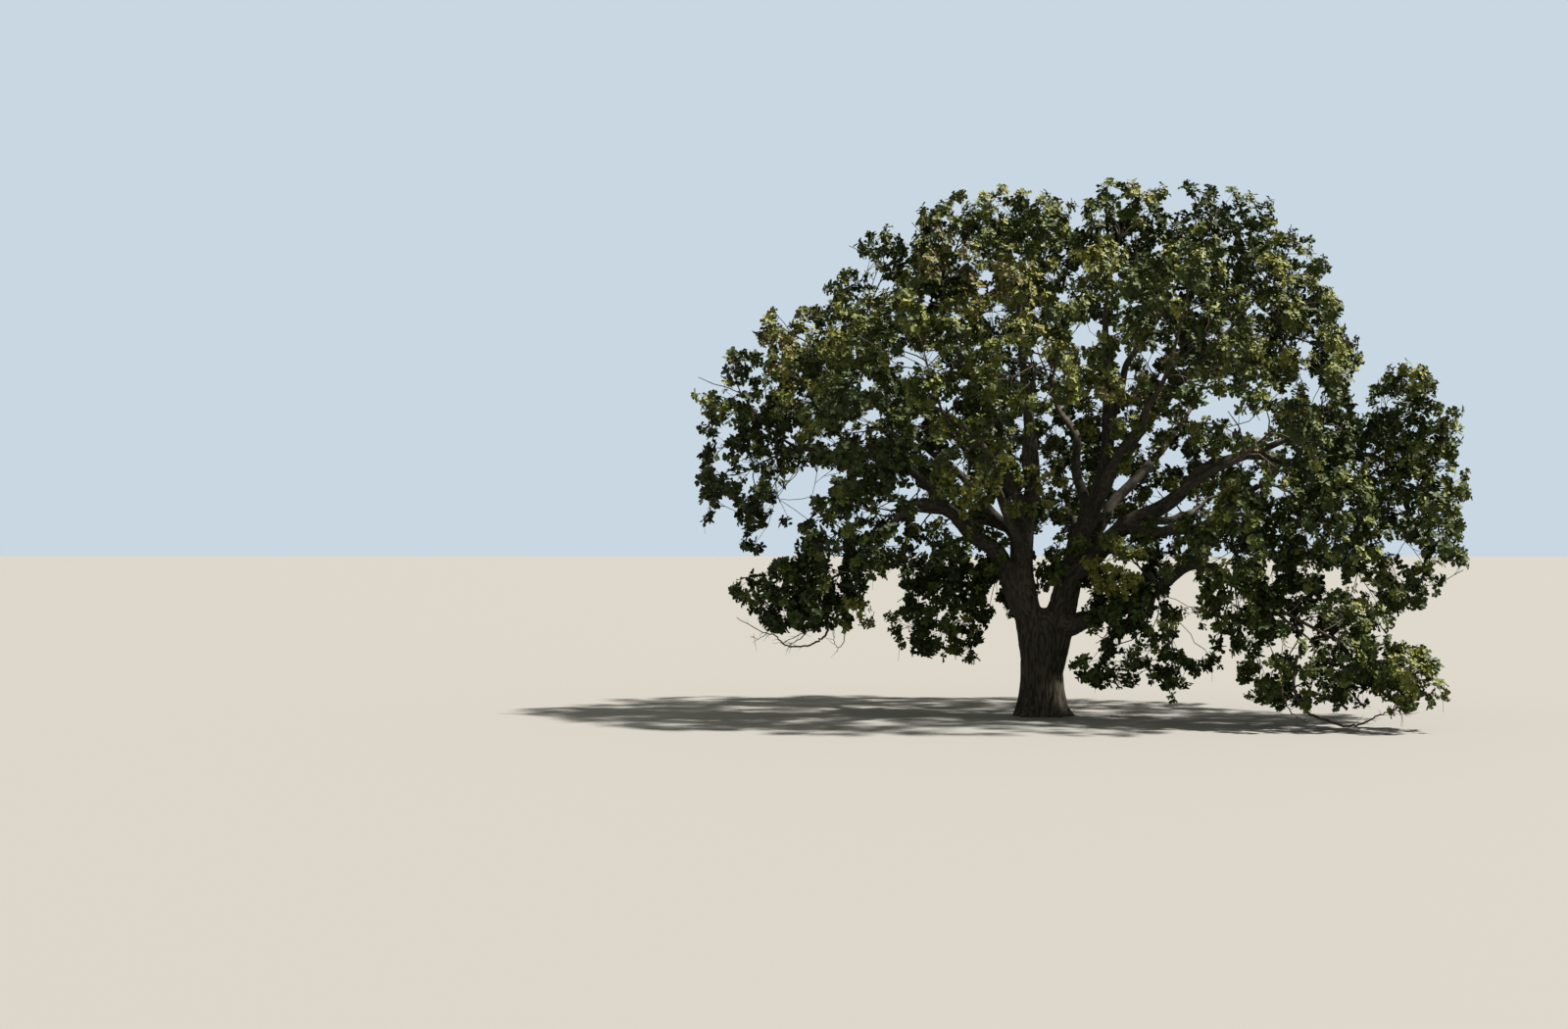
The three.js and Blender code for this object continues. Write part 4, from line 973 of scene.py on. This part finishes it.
def grow_mass(order, limbs, crown):
    """The branches of one mass, each with a lump of tufts round its end."""
    bough, *_, fullness = MASSES[NAMES[order]]
    limb = limbs[bough]
    samples = Samples()
    samples.add_limb(limb, BARE_IN_MASS)
    line, radius = stem_of(order, limb)
    thin = STEM_TAPER * radius
    crown.add_wood(line, (radius, thin), STEM_SIDES)
    for own in (samples, crown.samples):
        own.add(line[1:], np.linspace(radius, thin, len(line) - 1))
    count = int(round(LUMPS_PER_SQUARE * fullness * REACHES[order].mean() ** 2))
    ways = spiral(count, math.tau * rng.random())
    open_ways = open_shares(order, ways)
    shares = rng.uniform(*LUMP_SHARE, count) * open_ways
    ends = MIDDLES[order] + ways * REACHES[order] * shares[:, None]
    ends = ends[(open_ways >= LEAST_OPEN) & (light_at(ends, LIGHT_REACH) >= LEAST_LIGHT)]
    for k in np.argsort(np.linalg.norm(ends - limb.points[-1], axis=1)):
        outward = unit((ends[k] - MIDDLES[order]) / REACHES[order] ** 2)
        branch = crown.branch_to(samples, ends[k], outward)
        grow_lump(order, branch, outward, in_mass(order), crown)
        if outward[2] < STRAND_SLOPE:
            hang_strand(order, branch, crown)


def grow_between(crown):
    """Lumps between the masses, on branches from the nearest limb or branch."""
    counts = np.ceil(2 * CROWN_REACH / BETWEEN_STEP).astype(int)
    grid = np.stack(np.meshgrid(*(np.arange(n) for n in counts), indexing="ij"), axis=-1).reshape(-1, 3)
    places = CROWN_MIDDLE - CROWN_REACH + BETWEEN_STEP * (grid + rng.uniform(*BETWEEN_JITTER, grid.shape))
    out = crown_shares(places)
    front, front_low = BETWEEN_FRONT
    keep = (out > BETWEEN_SHARES[0]) & (out < BETWEEN_SHARES[1]) & (places[:, 2] > BETWEEN_LOW)
    keep &= (places[:, 1] > front) | (places[:, 2] > front_low)
    keep &= (depths(places).min(axis=-1) > BETWEEN_DEPTH) & in_outline(places) & ~in_gap(places)
    places = places[keep]
    places = places[light_at(places, LIGHT_REACH) >= LEAST_LIGHT]
    longest = [LUMP_BRANCH] * len(LUMP_PLACES) + [BETWEEN_BRANCH] * len(places)
    places = np.vstack([LUMP_PLACES, places])
    orders = np.argmin(depths(places), axis=-1)
    for place, order, limit in zip(places, orders, longest):
        outward = unit((place - CROWN_MIDDLE) / CROWN_REACH ** 2)
        branch = crown.branch_to(crown.samples, place, outward, limit)
        if branch is not None:
            grow_lump(order, branch, outward, between_masses, crown)


def grow_sprigs(limbs, crown):
    """Leafy sprigs at places of their own."""
    for name, share, tone, places in SPRIGS:
        start, _ = limbs[name].at(share)
        for place in np.array(places):
            way = unit(place - start)
            crown.add_wood(bent(start, way, place, way, 5), SPRIG)
            for near in place + SPRIG_REACH * random_units(SPRIG_TUFTS):
                order = np.argmin(depths(near))
                crown.tufts.append((near, unit(way + random_way()), order, SPRIG_TUFT, tone))


def grow_shoots(limbs, crown):
    """Short leafy shoots along the limbs inside the crown, whose darker tone is painted shade."""
    for name, low, high, count in SHOOTS:
        limb = limbs[name]
        for share in rng.uniform(low, high, count):
            k = int(share * (len(limb.points) - 1))
            turn = rng.uniform(0, math.tau)
            out = math.cos(turn) * limb.side[k] + math.sin(turn) * limb.across[k]
            out = unit(out + SHOOT_LEAN * limb.ahead[k])
            length = limb.radii[k] + rng.uniform(*SHOOT_LENGTH)
            end = limb.points[k] + out * length - SHOOT_DROOP * UP
            if in_gap(end[None])[0] or end[2] < SHOOT_LOWEST:
                continue
            line = bent(limb.points[k], out, end, unit(out + random_way() * SHOOT_LEAN), 5)
            crown.add_wood(line, SHOOT)
            order = np.argmin(depths(end))
            for place in (line[-1], line[-2] + SHOOT_JITTER * random_way()):
                way = unit(out + SHOOT_SPREAD * random_way())
                crown.tufts.append((place, way, order, SHOOT_TUFT, PAINTED_SHOOT_SHADE))


def grow_trails(crown):
    """The bare trailing branches, with thinner twigs on them."""
    for thick, thin, points in TRAILS:
        line = catmull_rom(points, np.linspace(0, 1, TRAIL_STEPS * len(points)))
        line[1:-1] += rng.normal(size=(len(line) - 2, 3)) * TRAIL_CROOK
        crown.add_wood(line, (thick, thin), BRANCH_SIDES)
        for share in rng.uniform(*TRAIL_SHARES, 3 * len(points) // 2):
            k = int(share * (len(line) - 2)) + 1
            ahead = unit(line[k] - line[k - 1])
            way = unit(ahead + TRAIL_SPREAD * random_way())
            end = line[k] + way * rng.uniform(*TRAIL_TWIG)
            if end[2] > TRAIL_LOWEST:
                crown.add_wood(bent(line[k], ahead, end, way, 4), SIDE_TWIG)


def sprays_of(crown):
    """All sprays: place, direction, where the stalk starts, mass, and tone."""
    places, ways, orders, sizes, tones = (np.array(column) for column in zip(*crown.tufts))
    tones = tones + TUFT_TONES * rng.normal(size=len(tones))
    places, ways, orders, sizes, tones = (
        np.repeat(column, SPRAYS, axis=0) for column in (places, ways, orders, sizes, tones))
    out = unit(ways * SPRAY_WAY + random_units(len(places)))
    ends = places + out * (rng.uniform(*SPRAY_REACH, len(places)) * sizes)[:, None]
    directions = unit(out + 0.5 * ways + LIFT * UP)
    keep = ~in_gap(ends) & (ends[:, 2] > GROUND_CLEARANCE) & (rng.random(len(places)) < sizes)
    outer = (ends, directions, places, orders, tones)
    return [np.concatenate([own[keep], core]) for own, core in zip(outer, zip(*crown.cores))]


def leaf_corners(half, count):
    """Leaves folded along the midrib, no two alike: across, along and up at each corner."""
    half = np.array(half)
    left = half[-2:0:-1] * np.array([-1, 1])
    outline = np.broadcast_to(np.vstack([half, left]), (count, len(half) + len(left), 2)).copy()
    free = [k for k in range(outline.shape[1]) if k not in (0, len(half) - 1)]
    outline[:, free] += rng.uniform(-LEAF_VARIETY, LEAF_VARIETY, (count, len(free), 2))
    up = LEAF_FOLD * np.abs(outline[..., :1]) - LEAF_CURL * outline[..., 1:] ** 2
    return np.concatenate([outline, up], axis=2)


def leaf_triangles(half):
    """The triangles of a leaf: each half is a fan round its waist, or round its tip."""
    tip = len(half) - 1
    corners = 2 * tip
    waist = tip - 2
    right = [(0, k, k + 1) for k in range(1, waist)] + [(0, waist, tip), (waist, waist + 1, tip)]
    left = [tuple((corners - k) % corners for k in reversed(triangle)) for triangle in right]
    return np.array(right + left)


def like_things(corners, pattern):
    """A mesh of many like things: the corners of each, and the triangles of one."""
    count, size, _ = corners.shape
    triangles = np.arange(count)[:, None, None] * size + pattern
    return triangle_mesh(corners.reshape(-1, 3), triangles.reshape(-1, 3))


def leaves_mesh(places, directions, size, half):
    """Leaves in a whorl round each spray's end, tilted out and facing along it."""
    count = len(places) * LEAVES
    place = np.repeat(places, LEAVES, axis=0)
    facing = np.repeat(directions, LEAVES, axis=0)
    first = rng.uniform(0, math.tau, len(places))
    turn = np.tile(np.arange(LEAVES) * GOLDEN_ANGLE, len(places)) + np.repeat(first, LEAVES)
    side = unit(np.cross(facing, OBLIQUE))
    across = np.cross(facing, side)
    round_way = np.cos(turn)[:, None] * side + np.sin(turn)[:, None] * across
    along = unit(round_way + rng.uniform(*LEAF_TILT, count)[:, None] * facing - LEAF_DROOP * UP)
    up = unit(facing + LEAF_TURN * random_units(count))
    up = unit(up - (up * along).sum(axis=1, keepdims=True) * along)
    length = size * rng.uniform(*LEAF_LENGTH, count)
    root = place + facing * rng.uniform(*LEAF_BACK, count)[:, None]
    corners = leaf_corners(half, count) * length[:, None, None]
    vertices = (
        root[:, None]
        + np.cross(along, up)[:, None] * corners[..., :1] * LEAF_WIDTH
        + along[:, None] * corners[..., 1:2]
        + up[:, None] * corners[..., 2:]
    )
    return like_things(vertices, leaf_triangles(half))


def spray_stalks(roots, ends):
    """A thin stalk to each spray, which ends in a point."""
    ahead = unit(ends - roots)
    side = unit(np.cross(ahead, OBLIQUE))
    radii = np.full(len(roots), STALK_RADIUS)
    feet = rings_round(roots, radii, side, np.cross(ahead, side), TWIG_SIDES)
    pattern = np.array([(0, 1, 3), (1, 2, 3), (2, 0, 3)])
    return like_things(np.concatenate([feet, ends[:, None]], axis=1), pattern)


def joined_tubes(tubes):
    """Tubes with open ends, each along a short line, as one mesh."""
    vertices, triangles, count = [], [], 0
    for points, radii, sides in tubes:
        ahead = unit(np.gradient(points, axis=0))
        side = sides_along(ahead, FIRST_SIDES[int(abs(ahead[0, 1]) >= NEAR_Y)])
        vertices.append(rings_round(points, radii, side, np.cross(ahead, side), sides).reshape(-1, 3))
        quads = quads_between(len(points), sides) + count
        triangles += [quads[:, :3], quads[:, [0, 2, 3]]]
        count += len(vertices[-1])
    mesh = triangle_mesh(np.concatenate(vertices), np.concatenate(triangles))
    mesh.shade_smooth()
    return mesh


def feed(tree, node, inputs):
    """Values, or the outputs of other nodes, at a node's inputs."""
    for name, value in inputs.items():
        if isinstance(value, bpy.types.NodeSocket):
            tree.links.new(value, node.inputs[name])
        else:
            node.inputs[name].default_value = value


def add_node(tree, kind, output, inputs, **settings):
    """The output of a new node with these inputs and settings."""
    node = with_settings(tree.nodes.new(kind), **settings)
    feed(tree, node, inputs)
    return node.outputs[output]


def noise_tone(tree, place, scale, detail):
    inputs = {"Vector": place, "Scale": scale, "Detail": detail}
    return add_node(tree, "ShaderNodeTexNoise", "Fac", inputs)


def multiply_add(tree, value, factor, addend):
    inputs = {0: value, 1: factor, 2: addend}
    return add_node(tree, "ShaderNodeMath", 0, inputs, operation="MULTIPLY_ADD")


def bump(tree, height, strength, distance):
    inputs = {"Height": height, "Strength": strength, "Distance": distance}
    return add_node(tree, "ShaderNodeBump", "Normal", inputs)


def ramp(tree, value, stops):
    """A colour for each value, through the stops: the two ends, then what lies between them."""
    colour = add_node(tree, "ShaderNodeValToRGB", "Color", {"Fac": value})
    elements = colour.node.color_ramp.elements
    for n, (position, tone) in enumerate(stops):
        element = elements[n] if n < 2 else elements.new(position)
        with_settings(element, position=position, color=(*tone, 1))
    return colour


def plain_material(name, colour, roughness, specular):
    material = bpy.data.materials.new(name)
    material.use_nodes = True
    shader = material.node_tree.nodes["Principled BSDF"]
    inputs = {"Base Color": (*colour, 1), "Roughness": roughness, "Specular IOR Level": specular}
    feed(material.node_tree, shader, inputs)
    return material


def bark_material():
    """Grey plates over dark furrows, with broad patches of tone; the furrows' dark is partly the bark's
    own colour and partly painted shade.
    """
    material = plain_material("bark", *BARK_FINISH)
    tree = material.node_tree
    ridge = add_node(tree, "ShaderNodeAttribute", "Fac", {}, attribute_name="ridge")
    place = add_node(tree, "ShaderNodeTexCoord", "Object", {})
    stretched = add_node(tree, "ShaderNodeMapping", "Vector", {"Vector": place, "Scale": GRAIN_STRETCH})
    grain = noise_tone(tree, stretched, *GRAIN_NOISE)
    # darker in the furrows: partly the bark's own colour, partly painted shade
    relief = multiply_add(tree, ridge, RIDGE_SHARE, RIDGE_SHIFT)
    tone = ramp(tree, multiply_add(tree, grain, GRAIN_SHARE, relief), BARK_TONES)
    patches = ramp(tree, noise_tone(tree, place, *PATCH_NOISE), BARK_PATCHES)
    both = {"Factor": 1.0, "A": tone, "B": patches}
    mixed = add_node(tree, "ShaderNodeMix", "Result", both, data_type="RGBA", blend_type="MULTIPLY")
    shader = tree.nodes["Principled BSDF"]
    feed(tree, shader, {"Base Color": mixed, "Normal": bump(tree, grain, *BARK_BUMP)})
    return material


def twig_material():
    """Grey-brown young bark, with paler and darker lengths."""
    material = plain_material("twig", *TWIG_FINISH)
    tree = material.node_tree
    place = add_node(tree, "ShaderNodeTexCoord", "Object", {})
    grain = noise_tone(tree, place, *TWIG_NOISE)
    inputs = {"Base Color": ramp(tree, grain, TWIG_TONES), "Normal": bump(tree, grain, *TWIG_BUMP)}
    feed(tree, tree.nodes["Principled BSDF"], inputs)
    return material


def aim(name, data, place, way):
    """A camera or lamp at a place, turned to look or shine a way."""
    aimed = add_object(name, data)
    turned = Vector(way).to_track_quat("-Z", "Y")
    return with_settings(aimed, location=place, rotation_mode="QUATERNION", rotation_quaternion=turned)


def make_camera():
    data = with_settings(bpy.data.cameras.new("camera"), lens=LENS, sensor_width=SENSOR, clip_end=FARTHEST)
    focal = PHOTO_WIDTH * LENS / SENSOR
    yaw = math.atan((TREE_COLUMN - PHOTO_WIDTH / 2) / focal)
    pitch = math.atan((HORIZON_ROW - PHOTO_HEIGHT / 2) / focal)
    look = (-math.sin(yaw) * math.cos(pitch), math.cos(yaw) * math.cos(pitch), math.sin(pitch))
    bpy.context.scene.camera = aim("camera", data, VIEWER, look)


def make_light():
    """The sun, the low lamp, the soft light, and the backdrop that only the camera sees."""
    aim("sun", with_settings(bpy.data.lights.new("sun", "SUN"), **SUN), (0, 0, 0), SUN_WAY)
    low = with_settings(bpy.data.lights.new("low", "SPOT"), **LOW_LAMP)
    aim("low", low, LOW_LAMP_PLACE, LOW_LAMP_END - LOW_LAMP_PLACE)
    world = bpy.data.worlds.new("world")
    bpy.context.scene.world = world
    world.use_nodes = True
    tree = world.node_tree
    feed(tree, tree.nodes["Background"], SOFT_LIGHT)
    soft = tree.nodes["Background"].outputs["Background"]
    backdrop = add_node(tree, "ShaderNodeBackground", "Background", BACKDROP)
    seen = add_node(tree, "ShaderNodeLightPath", "Is Camera Ray", {})
    mixed = add_node(tree, "ShaderNodeMixShader", "Shader", {"Fac": seen, 1: soft, 2: backdrop})
    feed(tree, tree.nodes["World Output"], {"Surface": mixed})


def make_floor():
    ends = (-FLOOR_HALF, FLOOR_HALF)
    mesh = new_mesh("floor", [(x, y, 0) for x in ends for y in ends], [(0, 2, 3, 1)])
    mesh.materials.append(plain_material("floor", *FLOOR_FINISH))
    floor = add_object("floor", mesh)


def add_piece(name, mesh, material, nodes):
    """A piece, which rides on the tree's one body and stands for the nodes."""
    mesh.materials.append(material)
    mesh.name = name
    piece = add_object(name, mesh)
    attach(piece, "root")
    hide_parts(*nodes)


def deal_kinds(places, orders, tones):
    """A kind for each spray, by its mass's tint, its tuft's tone, how near the crown's outside it
    is, and chance; some sprays of the brown patches are tan. Nearness to the outside is painted light
    and shade: sprays in the open get paler kinds and sprays deep inside darker ones."""
    # painted light and shade: sprays near the crown's outside lean to paler kinds, those deep inside to
    # darker ones
    lit = light_at(places, SHADE_REACH)
    # the mass's tint is partly its own colour and partly painted light and shade
    tint_and_light = np.array([mass[3] for mass in MASSES.values()])[orders]
    lean = TINT_AND_LIGHT_SHARE * tint_and_light + TONE_SHARE * tones + LIT_SHARE * (lit - lit.mean())
    lean = lean + KIND_CHANCE * rng.normal(size=len(orders))
    kinds = np.searchsorted([kind[3] for kind in SPRAY_KINDS], lean)
    seen = across_trunk(places)
    near = np.zeros(len(places))
    for x, z in BROWN_PATCHES:
        apart = ((seen[:, 0] - x) ** 2 + (seen[:, 2] - z) ** 2) / BROWN_REACH ** 2
        near = np.maximum(near, np.exp(-apart))
    kinds[rng.random(len(places)) < BROWN_SHARE * near] = len(SPRAY_KINDS) - 1
    return kinds


bpy.context.scene.view_settings.view_transform = "Standard"
make_camera()
make_light()
make_floor()
limbs = grow_boughs()
add_piece("bark", bark_mesh(limbs), bark_material(), WOOD_NODES)

crown = Crown(limbs)
for order in range(len(NAMES)):
    grow_mass(order, limbs, crown)
grow_between(crown)
grow_sprigs(limbs, crown)
grow_shoots(limbs, crown)
grow_trails(crown)
ends, directions, roots, orders, tones = sprays_of(crown)

young_bark = twig_material()
wood = {
    "branches": joined_tubes(tube for tube in crown.tubes if tube[2] > TWIG_SIDES),
    "twigs": joined_tubes(tube for tube in crown.tubes if tube[2] == TWIG_SIDES),
    "stalks": spray_stalks(roots, ends),
}
for name, mesh in wood.items():
    add_piece(name, mesh, young_bark, FOLIAGE_NODES)
kinds = deal_kinds(ends, orders, tones)
for n, (kind, colour, roughness, _, size, half) in enumerate(SPRAY_KINDS):
    own = kinds == n
    look = plain_material(f"leaf_{kind}", colour, roughness, LEAF_SHINE)
    mesh = leaves_mesh(ends[own], directions[own], size, half)
    add_piece(f"leaves_{kind}", mesh, look, FOLIAGE_NODES)
